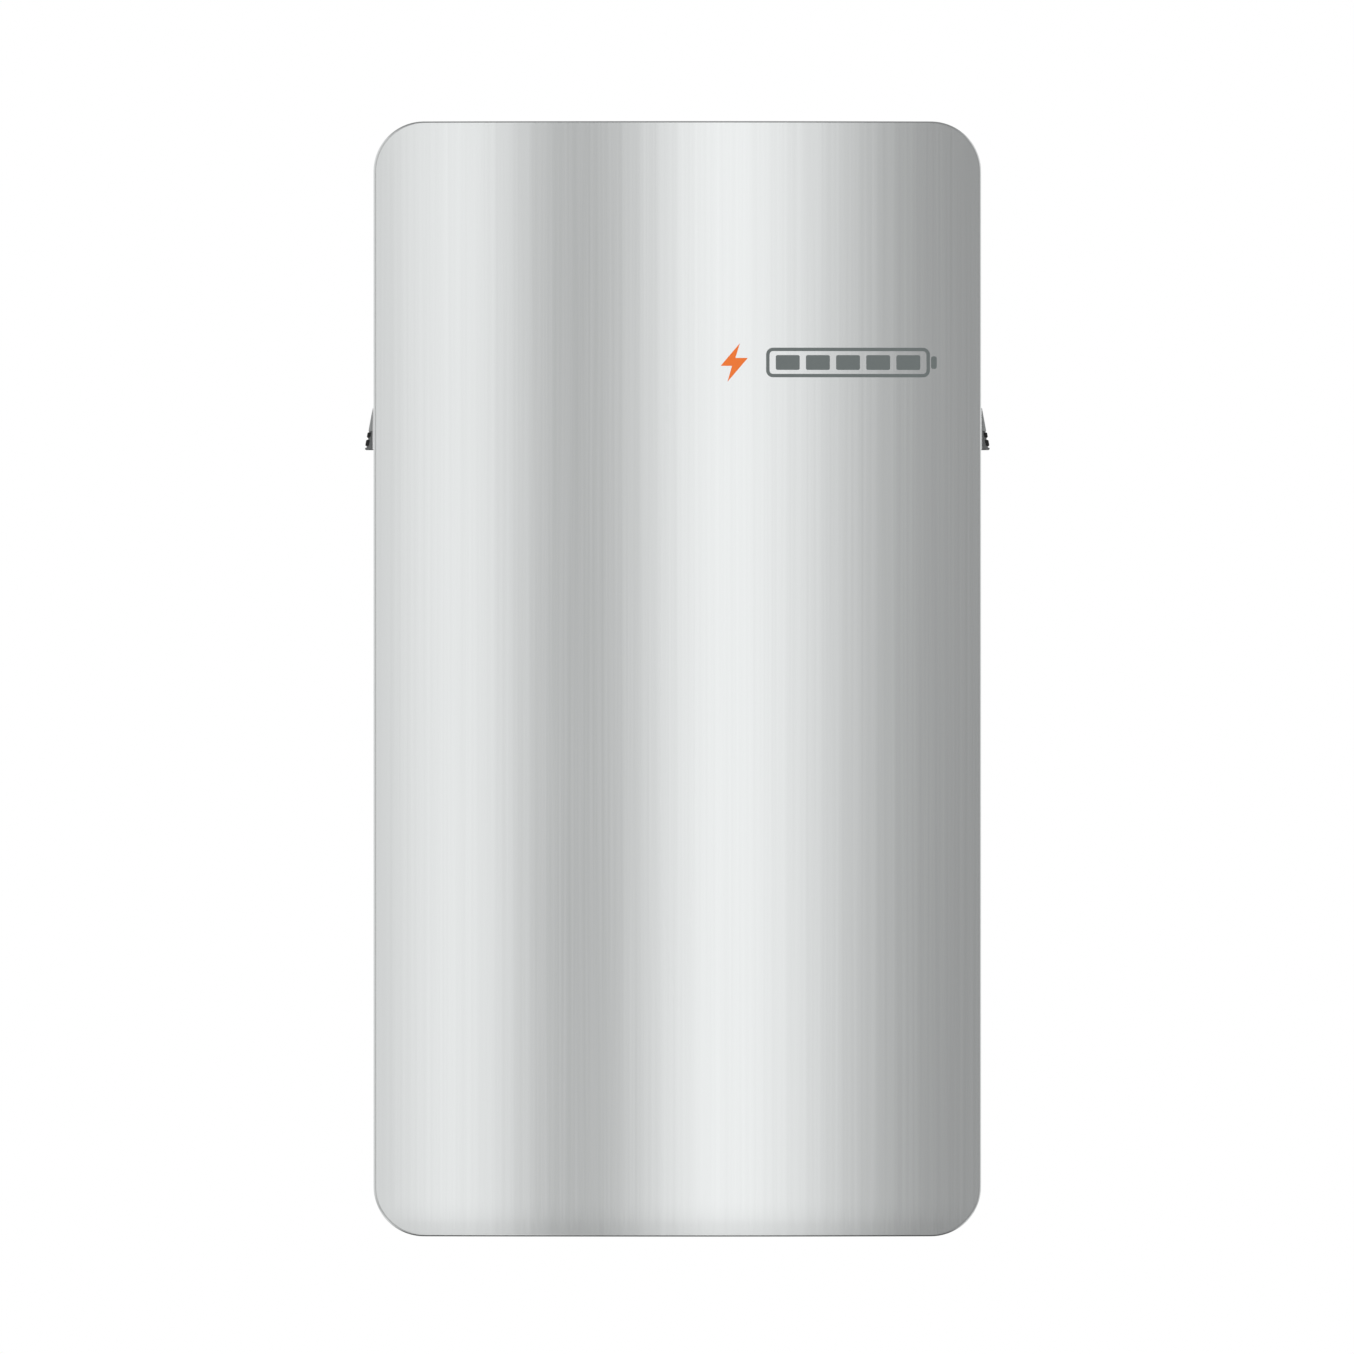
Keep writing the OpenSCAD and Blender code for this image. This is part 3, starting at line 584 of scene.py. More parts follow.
class Form:
    """A mesh being shaped with bmesh operators, in millimetres.

    The methods that add a part return its vertices, so that a later step can work on it alone.
    """

    def __init__(self) -> None:
        """Starts empty."""
        self.bm = bmesh.new()

    def block(
        self, x: Span, depth: Span, z: Span, corner: float = 0.0, corner_axis: Axis = Axis.Y,
        edge: float = 0.0, segments: int = 8,
    ) -> list[Vert]:
        """Adds a block, with rounded corners seen along one axis and softened edges.

        Args:
            x: from and to.
            depth: from and to, out from the wall.
            z: from and to.
            corner: radius of the four corners seen along corner_axis.
            corner_axis: the axis that those corners run along.
            edge: radius of every edge that is left.
            segments: steps in each corner's arc.

        Returns:
            The block's vertices.
        """
        low = Vector((x[0], -depth[1], z[0]))
        high = Vector((x[1], -depth[0], z[1]))
        place = Matrix.Translation((low + high) / 2) @ Matrix.Diagonal((*(high - low), 1.0))
        verts = bmesh.ops.create_cube(self.bm, size=1.0, matrix=place)["verts"]
        if corner:
            edges = [e for e in self._edges(verts) if self._runs_along(e, corner_axis)]
            verts = self._bevel(edges, corner, segments, verts)
        if edge:
            verts = self._bevel([e for e in self._edges(verts) if is_sharp(e)], edge, 2, verts)
        return verts

    def turned(self, profile: Points, axis: Axis, centre: Sequence[float], steps: int = 32) -> list[Vert]:
        """Adds a turned part.

        Args:
            profile: (radius, place along the axis) pairs; a depth axis counts out from the wall.
            axis: the axis of the turning.
            centre: a point (x, depth, z) on the axis; its value along the axis is not used.
            steps: flats around.

        Returns:
            The part's vertices.
        """
        along = axis.vector * (-1.0 if axis is Axis.Y else 1.0)
        base = Vector((centre[0], -centre[1], centre[2]))
        base -= axis.vector * base[axis.index]
        out = Vector((0.0, 0.0, 1.0)) if axis is not Axis.Z else Vector((1.0, 0.0, 0.0))
        verts = [self.bm.verts.new(base + out * r + along * h) for r, h in profile]
        edges = [self.bm.edges.new(pair) for pair in zip(verts, verts[1:])]
        spun = bmesh.ops.spin(
            self.bm, geom=verts + edges, cent=base, axis=axis.vector, dvec=(0, 0, 0),
            angle=math.tau, steps=steps, use_merge=True, use_duplicate=False,
        )
        ends = [g for g in spun["geom_last"] if isinstance(g, Vert)]
        made = self.island(ends + [v for v in verts if v.is_valid])
        bmesh.ops.remove_doubles(self.bm, verts=made, dist=MERGE)
        bmesh.ops.recalc_face_normals(self.bm, faces=faces_of(made))
        return [v for v in made if v.is_valid]

    def rod(
        self, axis: Axis, span: Span, radius: float, centre: Sequence[float], sides: int = 24,
        edge: float = 0.0,
    ) -> list[Vert]:
        """Adds a round bar with softened ends.

        Args:
            axis: the axis of the bar.
            span: from and to along the axis; a depth axis counts out from the wall.
            radius: the bar's radius.
            centre: a point (x, depth, z) on the axis.
            sides: flats around.
            edge: size of the chamfer at both ends.

        Returns:
            The bar's vertices.
        """
        low, high = span
        if edge:
            rim = [(radius - edge, low), (radius, low + edge), (radius, high - edge), (radius - edge, high)]
        else:
            rim = [(radius, low), (radius, high)]
        return self.turned([(0.0, low), *rim, (0.0, high)], axis, centre, sides)

    def outline(self, points: Points, depth: Span, corner: float = 0.0, segments: int = 4) -> list[Vert]:
        """Adds a solid from one depth to another, with the outline that flat takes."""
        return self.thicken([self.flat(points, depth[0], corner, segments)], depth[1] - depth[0])

    def flat(self, points: Points, depth: float, corner: float = 0.0, segments: int = 4) -> Face:
        """Adds one flat face.

        Args:
            points: its few (x, z) corners, in order.
            depth: how far out from the wall it lies.
            corner: radius of the corners.
            segments: steps in each corner's arc.

        Returns:
            The face.
        """
        verts = [self.bm.verts.new((x, -depth, z)) for x, z in points]
        face = self.bm.faces.new(verts)
        if not corner:
            return face
        rounded = self._bevel(verts, corner, segments, [], "VERTICES")
        return max(faces_of(rounded), key=lambda f: f.calc_area())

    def thicken(self, faces: list[Face], thickness: float) -> list[Vert]:
        """Turns flat faces into a closed solid, out from the wall.

        Args:
            faces: the flat faces.
            thickness: how far out the other side is.

        Returns:
            The solid's vertices.
        """
        start = {v for f in faces for v in f.verts}
        raised = bmesh.ops.extrude_face_region(self.bm, geom=faces, use_keep_orig=True)["geom"]
        moved = [g for g in raised if isinstance(g, Vert)]
        bmesh.ops.translate(self.bm, verts=moved, vec=(0.0, -thickness, 0.0))
        made = list(start | set(moved))
        bmesh.ops.recalc_face_normals(self.bm, faces=faces_of(made))
        return made

    def cut(self, axis: Axis, places: Iterable[float], verts: list[Vert] | None = None) -> None:
        """Cuts new edges where planes across an axis meet the mesh.

        Args:
            axis: the axis that the planes are square to; on Y, places are depths.
            places: where the planes are.
            verts: the part of the mesh to cut, or None for all of it; it gains the new vertices.
        """
        for place in places:
            faces = set(self.bm.faces if verts is None else faces_of(verts))
            edges = {e for f in faces for e in f.edges}
            points = {v for f in faces for v in f.verts}
            where = axis.vector * (-place if axis is Axis.Y else place)
            made = bmesh.ops.bisect_plane(
                self.bm, geom=[*points, *edges, *faces], dist=MERGE, plane_co=where, plane_no=axis.vector
            )
            if verts is not None:
                new = {g for g in made["geom_cut"] if isinstance(g, Vert)}
                verts.extend(new - set(verts))

    def remove(self, test: Callable[[Face], bool]) -> None:
        """Deletes the faces that pass the test."""
        bmesh.ops.delete(self.bm, geom=[f for f in self.bm.faces if test(f)], context="FACES")

    def round_edges(self, test: Callable[[Edge], bool], radius: float, segments: int) -> None:
        """Rounds the edges that pass the test."""
        self._bevel([e for e in self.bm.edges if test(e)], radius, segments, [])

    def mirror_to(self, side: Side) -> None:
        """Turns a shape drawn for the right side into one side's own.

        Args:
            side: the side that it is for.
        """
        if side is Side.LEFT:
            bmesh.ops.scale(self.bm, vec=(-1.0, 1.0, 1.0), verts=self.bm.verts)
            bmesh.ops.reverse_faces(self.bm, faces=self.bm.faces)

    def mesh(self, name: str, smooth_below: float = 32.0) -> bpy.types.Mesh:
        """Ends the shaping.

        Args:
            name: the mesh's name.
            smooth_below: edges with a smaller angle, in degrees, are shaded smooth.

        Returns:
            The mesh, in metres.
        """
        shade_by_angle(self.bm, smooth_below)
        bmesh.ops.scale(self.bm, vec=(MM, MM, MM), verts=self.bm.verts)
        made = bpy.data.meshes.new(name)
        self.bm.to_mesh(made)
        self.bm.free()
        return made

    def _bevel(
        self, parts: list[Edge] | list[Vert], radius: float, segments: int, verts: list[Vert],
        affect: str = "EDGES",
    ) -> list[Vert]:
        """Rounds edges or corners.

        Args:
            parts: the edges, or the vertices.
            radius: the rounding's offset.
            segments: steps in the rounding.
            verts: the vertices of the part that is being made.
            affect: EDGES or VERTICES.

        Returns:
            The part's vertices as they are afterwards.
        """
        made = bmesh.ops.bevel(
            self.bm, geom=parts, offset=radius, offset_type="OFFSET", segments=segments,
            profile=0.5, affect=affect, clamp_overlap=True, material=-1,
        )
        return list({v for v in [*verts, *made["verts"]] if v.is_valid})

    @staticmethod
    def island(verts: list[Vert]) -> list[Vert]:
        """Finds what is joined together.

        Args:
            verts: where to start.

        Returns:
            Every vertex that is joined to these, and these.
        """
        seen, queue = set(verts), list(verts)
        while queue:
            near = {v for e in queue.pop().link_edges for v in e.verts} - seen
            seen |= near
            queue.extend(near)
        return list(seen)

    @staticmethod
    def _edges(verts: Iterable[Vert]) -> list[Edge]:
        """The edges at these vertices."""
        return list({e for v in verts if v.is_valid for e in v.link_edges})

    @staticmethod
    def _runs_along(edge: Edge, axis: Axis) -> bool:
        """Whether an edge is parallel to an axis."""
        way = (edge.verts[1].co - edge.verts[0].co).normalized()
        return abs(way.dot(axis.vector)) > 0.999


class Workshop:
    """Keeps the frame and the materials, and turns forms into finished pieces."""

    def __init__(self, frame: dict) -> None:
        """Makes every material once.
        """
        self.nodes: dict[str, Object] = frame["nodes"]
        self.slots = {s["node"]: s["material_slot"] for s in frame["record"]["subparts"]}
        self.materials = {f.slot: f.material() for f in (*FINISHES, *EXTRA_FINISHES)}
        self.made: set[str] = set()
        self.pieces: list[Object] = []

    def publish(
        self, form: Form, name: str, slot: str, node: str, body: Body = Body.UNIT,
        finish: str | None = None, smooth_below: float = 32.0,
    ) -> Object:
        """Makes a form a piece of the object.

        Args:
            form: the finished shape.
            name: the piece's name.
            slot: the record's material slot.
            node: the CAD node that it stands for.
            body: the body that it rides on.
            finish: the material, if it isn't the slot's own.
            smooth_below: edges with a smaller angle, in degrees, are shaded smooth.

        Returns:
            The piece.
        """
        mesh = form.mesh(name, smooth_below)
        mesh.materials.append(self.materials[finish or slot])
        piece = bpy.data.objects.new(name, mesh)
        bpy.context.scene.collection.objects.link(piece)
        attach(piece, body.value)
        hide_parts(node)
        self.made.add(node)
        self.pieces.append(piece)
        LOG.info("piece %s: %d faces, on %s", name, len(mesh.polygons), body.value)
        return piece

    def blocks(self, name: str, slot: str, node: str, rows: Iterable[tuple]) -> Object:
        """Makes one piece of softened blocks.

        Args:
            name: the piece's name.
            slot: the record's material slot.
            node: the CAD node that it stands for.
            rows: what Form.block takes, one row for each block.

        Returns:
            The piece.
        """
        form = Form()
        for row in rows:
            form.block(*row)
        return self.publish(form, name, slot, node)

    def turnings(
        self, name: str, slot: str, node: str, profile: Points, axis: Axis,
        centres: Iterable[Sequence[float]], steps: int, body: Body = Body.UNIT,
    ) -> Object:
        """Makes one piece of equal turned parts.

        Args:
            name: the piece's name.
            slot: the record's material slot.
            node: the CAD node that it stands for.
            profile: as in Form.turned.
            axis: the axis of the turning.
            centres: a point on the axis of each part.
            steps: flats around.
            body: the body that it rides on.

        Returns:
            The piece.
        """
        form = Form()
        for centre in centres:
            form.turned(profile, axis, centre, steps)
        return self.publish(form, name, slot, node, body)

    def dress_rest(self, edge_radius: dict[str, float]) -> None:
        """Gives every CAD node that stays its material, and softened edges where asked.

        Args:
            edge_radius: by node, the radius of its edges in millimetres.
        """
        for name in sorted(set(self.nodes) - self.made):
            node = self.nodes[name]
            node.data.materials.clear()
            node.data.materials.append(self.materials[self.slots[name]])
            if name in edge_radius:
                self.soften(node, edge_radius[name])
            LOG.info("CAD node %s: %s", name, self.slots[name])

    def even_shading(self) -> None:
        """Lets the large faces of every new piece lead its shading, so that flats look flat."""
        for piece in self.pieces:
            even = piece.modifiers.new("even shading", "WEIGHTED_NORMAL")
            even.mode = "FACE_AREA"
            even.keep_sharp = True

    @staticmethod
    def soften(node: Object, radius: float) -> None:
        """Merges a CAD node's triangles and rounds its edges, with modifiers only.

        Args:
            node: the CAD node's object.
            radius: the edge radius in millimetres.
        """
        weld = node.modifiers.new("merge", "WELD")
        weld.merge_threshold = 0.00001
        flat = node.modifiers.new("flatten", "DECIMATE")
        flat.decimate_type = "DISSOLVE"
        flat.angle_limit = math.radians(0.5)
        bevel = node.modifiers.new("soften", "BEVEL")
        bevel.width = radius * MM
        bevel.segments = 2
        bevel.limit_method = "ANGLE"
        bevel.angle_limit = math.radians(40)
        bevel.harden_normals = True


def carve(piece: Object, cutters: Form) -> None:
    """Takes the cutters' shape out of a piece and keeps the result as its mesh.

    Args:
        piece: the piece, with any modifiers still live.
        cutters: closed solids.
    """
    tool = bpy.data.objects.new("cutter", cutters.mesh("cutter"))
    bpy.context.scene.collection.objects.link(tool)
    boolean = piece.modifiers.new("carve", "BOOLEAN")
    boolean.operation = "DIFFERENCE"
    boolean.solver = "EXACT"
    boolean.object = tool
    bpy.context.view_layer.update()
    graph = bpy.context.evaluated_depsgraph_get()
    carved = bpy.data.meshes.new_from_object(piece.evaluated_get(graph), depsgraph=graph)
    piece.modifiers.clear()
    shape = bmesh.new()
    shape.from_mesh(carved)
    bmesh.ops.dissolve_degenerate(shape, dist=1e-6, edges=shape.edges)
    bmesh.ops.connect_verts_concave(shape, faces=shape.faces)
    shade_by_angle(shape, 24.0)
    shape.to_mesh(carved)
    shape.free()
    old, piece.data = piece.data, carved
    bpy.data.meshes.remove(old)
    bpy.data.objects.remove(tool)


def add_wall(piece: Object, thickness: float) -> None:
    """Gives an open shell a wall that grows inwards.

    Args:
        piece: the shell.
        thickness: the wall's thickness in millimetres.
    """
    wall = piece.modifiers.new("wall", "SOLIDIFY")
    wall.thickness = thickness * MM
    wall.offset = -1.0
    wall.use_even_offset = True


# ---- The unit's own parts ----


SIGNS = (-1, 1)


def mirrored(side: int, span: Span) -> Span:
    """A span on the right side, or its mirror image when side is -1."""
    return span if side > 0 else (-span[1], -span[0])


def rectangle(x: float, z: float, width: float, height: float) -> Points:
    """The corners of a rectangle around a point."""
    return [(x + i * width / 2, z + j * height / 2) for i, j in ((-1, -1), (1, -1), (1, 1), (-1, 1))]


@dataclass(frozen=True)
class Layout:
    """Places that more than one sub-assembly needs."""

    stud_x: float = 238.0
    stud_rows: tuple[float, ...] = (-420.0, -140.0, 140.0, 420.0)
    column_x: float = 118.0
    inverter_rows: tuple[float, ...] = (150.0, -90.0, -330.0)
    dc_entry: float = 272.0
    ac_entry: float = 318.0
    side_x: float = 263.0
    lid_front: float = 133.0
    switch_depth: float = 72.0

    @property
    def studs(self) -> list[tuple[float, float, float]]:
        """A point on the axis of every ball stud and its socket."""
        return [(sign * self.stud_x, 0.0, z) for sign in SIGNS for z in self.stud_rows]


LAYOUT = Layout()


@dataclass(frozen=True)
class Bow:
    """The upright cylinder that the front of the cover lies on."""

    width: float = 534.0
    rise: float = 24.0
    depth: float = 188.0

    @property
    def radius(self) -> float:
        """The cylinder's radius."""
        return ((self.width / 2) ** 2 + self.rise**2) / (2 * self.rise)

    def fall(self, x: float) -> float:
        """How far the front has fallen back at x."""
        return self.radius - math.sqrt(self.radius**2 - x * x)

    def settle(self, verts: Iterable[Vert]) -> None:
        """Moves flat front vertices back onto the cylinder."""
        for vert in verts:
            vert.co.y += self.fall(vert.co.x)


@dataclass
class Assembly:
    """A sub-assembly: it holds its sizes and makes its own pieces in the workshop."""

    shop: Workshop

    def build(self) -> None:
        """Makes every piece of the sub-assembly."""
        raise NotImplementedError


@dataclass
class FrontCover(Assembly):
    """The sheet cover: bowed front, rolled edges, slotted top and bottom, frame and studs."""

    height: float = 980.0
    corner: float = 44.0
    back: float = 118.0
    wall: float = 1.5
    edge: float = 1.8
    slots: int = 27
    slot_pitch: float = 16.0
    slot_width: float = 5.0
    slot_depth: Span = (132.0, 156.0)
    roll_height: float = 34.0
    roll_drop: float = 1.9
    mark_z: float = 278.0
    print_film: float = 0.18
    bow: Bow = field(default_factory=Bow)

    def build(self) -> None:
        """Makes the cover's pieces."""
        self.sheet()
        self.frame()
        self.studs()
        self.mark()

    def sheet(self) -> None:
        """Shapes the outer sheet."""
        half_w, half_h = self.bow.width / 2, self.height / 2
        front = self.bow.depth
        form = Form()
        form.block((-half_w, half_w), (self.back, front), (-half_h, half_h), self.corner, segments=18)
        form.remove(lambda f: f.normal.y > 0.9)
        form.round_edges(lambda e: lies_at(e, Axis.Y, front), self.edge, 6)
        flat = [f for f in form.bm.faces if lies_at(f, Axis.Y, front)]
        bmesh.ops.inset_region(form.bm, faces=flat, thickness=0.4, use_even_offset=True)
        columns = [self.slot_pitch * i for i in range(-(self.slots // 2), self.slots // 2 + 1)]
        form.cut(Axis.X, [c + s * self.slot_width / 2 for c in columns for s in SIGNS])
        # More edges near the corners, so that the bow stays smooth there.
        form.cut(Axis.X, [s * x for x in (221.0, 232.0, 243.0, 254.0) for s in SIGNS])
        form.cut(Axis.Z, [s * (half_h - inset) for inset in (14.0, 46.0) for s in SIGNS])
        form.cut(Axis.Z, [-half_h + self.roll_height * k / 6 for k in range(1, 7)])
        form.cut(Axis.Y, self.slot_depth)
        form.remove(lambda f: self._in_slot(f.calc_center_median()))
        skin = [v for v in form.bm.verts if v.co.y < self.edge + CLOSE - front]
        self.bow.settle(skin)
        for vert in skin:
            low = max(0.0, self.roll_height - half_h - vert.co.z)
            vert.co.y += self.roll_drop * (low / self.roll_height) ** 2
        piece = self.shop.publish(
            form, "cover_sheet", "cover_metal", "front_cover", Body.COVER, smooth_below=24.0
        )
        add_wall(piece, self.wall)

    def _in_slot(self, centre: Vector) -> bool:
        """Whether a face lies in a vent slot of the top or bottom wall.

        Args:
            centre: the middle of the face.

        Returns:
            True in a slot.
        """
        column = round(centre.x / self.slot_pitch)
        across = abs(centre.x - column * self.slot_pitch) < self.slot_width / 2
        along = self.slot_depth[0] < -centre.y < self.slot_depth[1]
        on_wall = abs(abs(centre.z) - self.height / 2) < CLOSE
        return abs(column) <= self.slots // 2 and across and along and on_wall

    def frame(self) -> None:
        """Shapes the two side rails and the three stiffeners."""
        form = Form()
        inner, skin = self.bow.width / 2 - self.wall, self.bow.depth - self.wall
        for sign in SIGNS:
            leg = mirrored(sign, (inner - 1.5, inner))
            shelf = mirrored(sign, (LAYOUT.stud_x - 10, inner - 0.6))
            form.block(leg, (143, 160), (-440, 440), 6.0, Axis.X, 0.3)
            form.block(shelf, (143, 144.5), (-440, 440), 8.0, Axis.Y, 0.4)
        for z in (-300, 0, 300):
            verts = form.block((-236, 236), (skin - 5, skin - 0.05), (z - 15, z + 15), 8.0, Axis.Y, 1.2)
            form.cut(Axis.X, spread(33, 224), verts)
            self.bow.settle([v for v in verts if v.is_valid])
        self.shop.publish(form, "cover_inner_frame", "cover_inner", "cover_frame", Body.COVER)

    def studs(self) -> None:
        """Turns the eight ball studs."""
        ball, neck, ball_depth = 3.6, 2.0, 138.0
        arc = [math.radians(a) for a in range(-90, 61, 25)]
        profile = [(ball * math.cos(a), ball_depth + ball * math.sin(a)) for a in arc]
        profile[0] = (0.0, ball_depth - ball)
        profile += [(neck, 141.2), (neck, 144.5), (4.0, 144.5), (4.0, 145.6), (3.2, 146.4), (0.0, 146.5)]
        self.shop.turnings(
            "cover_ball_studs", "fastener_steel", "cover_studs", profile, Axis.Y, LAYOUT.studs, 20, Body.COVER
        )

    def mark(self) -> None:
        """Prints the generic mark: a lightning bolt and a charge gauge."""
        on_skin = (self.bow.depth, self.bow.depth + self.print_film)
        bolt = Form()
        points = [(55, 17), (38, -3), (48, -3), (44, -17), (62, 4), (51, 4)]
        self._print(bolt, bolt.outline([(x, z + self.mark_z) for x, z in points], on_skin, 0.6, 2))
        self.shop.publish(bolt, "mark_bolt", "badge_print", "badge", Body.COVER, "mark_orange")
        gauge = Form()
        case = gauge.flat(rectangle(150.0, self.mark_z, 144.0, 26.0), self.bow.depth, 6.0, 6)
        stroke = bmesh.ops.inset_region(
            gauge.bm, faces=[case], thickness=3.0, use_even_offset=True, use_boundary=True
        )["faces"]
        bmesh.ops.delete(gauge.bm, geom=[case], context="FACES_ONLY")
        self._print(gauge, gauge.thicken([f for f in stroke if f.is_valid], self.print_film))
        bars = [(150.0 + x, 21.0, 13.0, 1.5) for x in spread(5, 53.0)] + [(225.5, 5.0, 11.0, 1.8)]
        for x, width, height, corner in bars:
            self._print(gauge, gauge.outline(rectangle(x, self.mark_z, width, height), on_skin, corner))
        self.shop.publish(gauge, "mark_gauge", "badge_print", "badge", Body.COVER)

    def _print(self, form: Form, verts: list[Vert]) -> None:
        """Lays a flat print on the bowed front.

        Args:
            form: the form that the print is in.
            verts: the print's vertices.
        """
        low, high = min(v.co.x for v in verts), max(v.co.x for v in verts)
        count = max(2, round((high - low) / 6.0))
        form.cut(Axis.X, [low + (high - low) * k / count for k in range(1, count)], verts)
        self.bow.settle([v for v in verts if v.is_valid])


@dataclass
class Housing(Assembly):
    """The deep-drawn housing, its lid and the covers and plates on it."""

    width: float = 2 * LAYOUT.side_x
    height: float = 972.0
    corner: float = 40.0
    depth: Span = (22.0, 128.0)
    wall: float = 2.5
    rim: float = 20.0
    back_bend: float = 6.0
    lid_depth: Span = (130.0, LAYOUT.lid_front)
    fitting_depth: float = 78.0

    @property
    def side_x(self) -> float:
        """X of the outer face of the right side."""
        return self.width / 2

    @property
    def top_z(self) -> float:
        """Z of the outer face of the top."""
        return self.height / 2

    def build(self) -> None:
        """Makes the housing's pieces."""
        self.tub()
        self.beads()
        self.lid()
        self.hatch()
        self.gland_plate()
        self.top_plug()
        self.vent()
        self.plate()

    def tub(self) -> None:
        """Shapes the housing and cuts its windows."""
        form = Form()
        x, z = self.side_x, self.top_z
        back, front = self.depth
        form.block((-x, x), self.depth, (-z, z), self.corner, segments=14)
        front_faces = [f for f in form.bm.faces if f.normal.y < -0.9]
        bmesh.ops.inset_region(form.bm, faces=front_faces, thickness=self.rim, use_even_offset=True)
        bmesh.ops.delete(form.bm, geom=front_faces, context="FACES_ONLY")
        form.round_edges(lambda e: lies_at(e, Axis.Y, back), self.back_bend, 5)
        for bend in (self.back_bend + 1.0, self.corner + 1.0):
            form.cut(Axis.X, [s * (x - bend) for s in SIGNS])
            form.cut(Axis.Z, [s * (z - bend) for s in SIGNS])
        form.cut(Axis.Y, [back + self.back_bend + 1.0, front - 1.0])
        piece = self.shop.publish(form, "housing_tub", "housing_paint", "housing")
        add_wall(piece, self.wall)
        carve(piece, self._windows())

    def _windows(self) -> Form:
        """The openings for the handles, the isolator, the light and the conduits.

        Returns:
            Their cutters.
        """
        form = Form()
        through = (self.side_x - 8.0, self.side_x + 4.0)
        for sign in SIGNS:
            form.block(mirrored(sign, through), (32.8, 107.2), (169.8, 232.2), 1.5, Axis.X, segments=4)
        form.rod(Axis.X, through, 33.2, (0, LAYOUT.switch_depth, 100), 64)
        form.block(through, (68.5, 75.5), (0, 40), 3.4, Axis.X)
        form.block(through, (46, 110), (346, 436), 6.0, Axis.X)
        return form

    def beads(self) -> None:
        """Presses the stiffening beads of the back wall, as a second skin on it."""
        depth = (self.depth[0] - 2, self.depth[0] + 0.6)
        upright = [((x - 13, x + 13), (-205, 195)) for x in (-155, -55, 55, 155)]
        level = [((x - 75, x + 75), (z - 13, z + 13)) for x in (-110, 110) for z in (-380, 370)]
        rows = [(x, depth, z, 12.0, Axis.Y, 1.9, 10) for x, z in (*upright, *level)]
        self.shop.blocks("housing_back_beads", "housing_paint", "housing", rows)

    def lid(self) -> None:
        """Shapes the lid, with a pressed step around its middle field."""
        w, h = self.side_x - 2, self.top_z - 2
        low, high = self.lid_depth
        step = 16
        self.shop.blocks("lid_panel", "lid_metal", "lid", (
            ((-w, w), (low, high - 0.4), (-h, h), self.corner - 2, Axis.Y, 0.5, 14),
            ((step - w, w - step), (high - 1.0, high), (step - h, h - step), 24.0, Axis.Y, 0.38, 12),
        ))

    def hatch(self) -> None:
        """Shapes the cover of the field wiring, with its raised field."""
        self.shop.blocks("wiring_hatch", "lid_metal", "wiring_cover", (
            ((-203, 203), (134.5, 136.0), (339, 469), 12.0, Axis.Y, 0.4),
            ((-184, 184), (135.5, 136.5), (356, 452), 10.0, Axis.Y, 0.45),
        ))

    def gland_plate(self) -> None:
        """Shapes the plate that the conduits enter through, with its two holes."""
        row = ((257.5, 260.5), (38, 118), (338, 444), 6.0, Axis.X, 0.4)
        piece = self.shop.blocks("conduit_plate", "lid_metal", "gland_plate", [row])
        holes = Form()
        for z, radius in ((414.0, 14.1), (370.0, 11.1)):
            holes.rod(Axis.X, (250.0, 270.0), radius, (0, self.fitting_depth, z), 48)
        carve(piece, holes)

    def top_plug(self) -> None:
        """Turns the plug of the spare top entry, with a coin slot in its head."""
        form = Form()
        x, top = 150, self.top_z
        profile = [(0, 1.2), (10.5, 1.2), (11.2, 2.3), (16.6, 2.5), (17.7, 1.9), (18, 0), (14.1, 0)]
        profile += [(14.1, -6.5), (18, -6.5), (0, -6.5)]
        form.turned([(r, top + h) for r, h in profile], Axis.Z, (x, self.fitting_depth, 0), 48)
        form.block((x - 9, x + 9), (76.6, 79.4), (top + 0.8, top + 2.4), 1.3, Axis.Z, 0.3, 4)
        self.shop.publish(form, "top_entry_cap", "dark_plastic", "top_entry_plug")

    def vent(self) -> None:
        """Turns the breather vent, with its grooved rim."""
        steps = [(0, -2.2), (6.6, -2.2), (7.2, -3.0), (9.2, -3.0), (10, -2.2), (10, 0)]
        steps += [(6, 0), (6, 12), (0, 12)]
        profile = [(r, h - self.top_z) for r, h in steps]
        centre = (-150, self.fitting_depth, 0)
        self.shop.turnings("breather", "dark_plastic", "breather_vent", profile, Axis.Z, [centre], 40)

    def plate(self) -> None:
        """Shapes the blank rating plate on the left side."""
        row = ((-263.4, -262.9), (39, 109), (5, 115), 4.0, Axis.X, 0.1)
        self.shop.blocks("blank_plate", "label_foil", "rating_plate", [row])


@dataclass(frozen=True)
class PanHead:
    """One size of pan-head screw, with a recess in its head."""

    radius: float
    height: float
    shank: float
    length: float

    def add(self, form: Form, axis: Axis, seat: float, centre: Sequence[float]) -> None:
        """Adds one screw to a form.

        Args:
            form: the form.
            axis: Y for a head that faces out from the wall, X for one that faces sideways.
            seat: where the head's underside is, along the axis.
            centre: a point on the axis.
        """
        r, h, shank, recess = self.radius, self.height, self.shank, self.radius * 0.48
        steps = [(0, h * 0.45), (recess, h * 0.45), (recess * 1.02, h * 0.93), (r * 0.62, h)]
        steps += [(r * 0.88, h * 0.82), (r, h * 0.42), (r, 0), (shank, 0), (shank, 0.6 - self.length)]
        steps += [(shank - 0.6, -self.length), (0, -self.length)]
        outward = math.copysign(1.0, seat)
        form.turned([(radius, seat + outward * along) for radius, along in steps], axis, centre, 18)


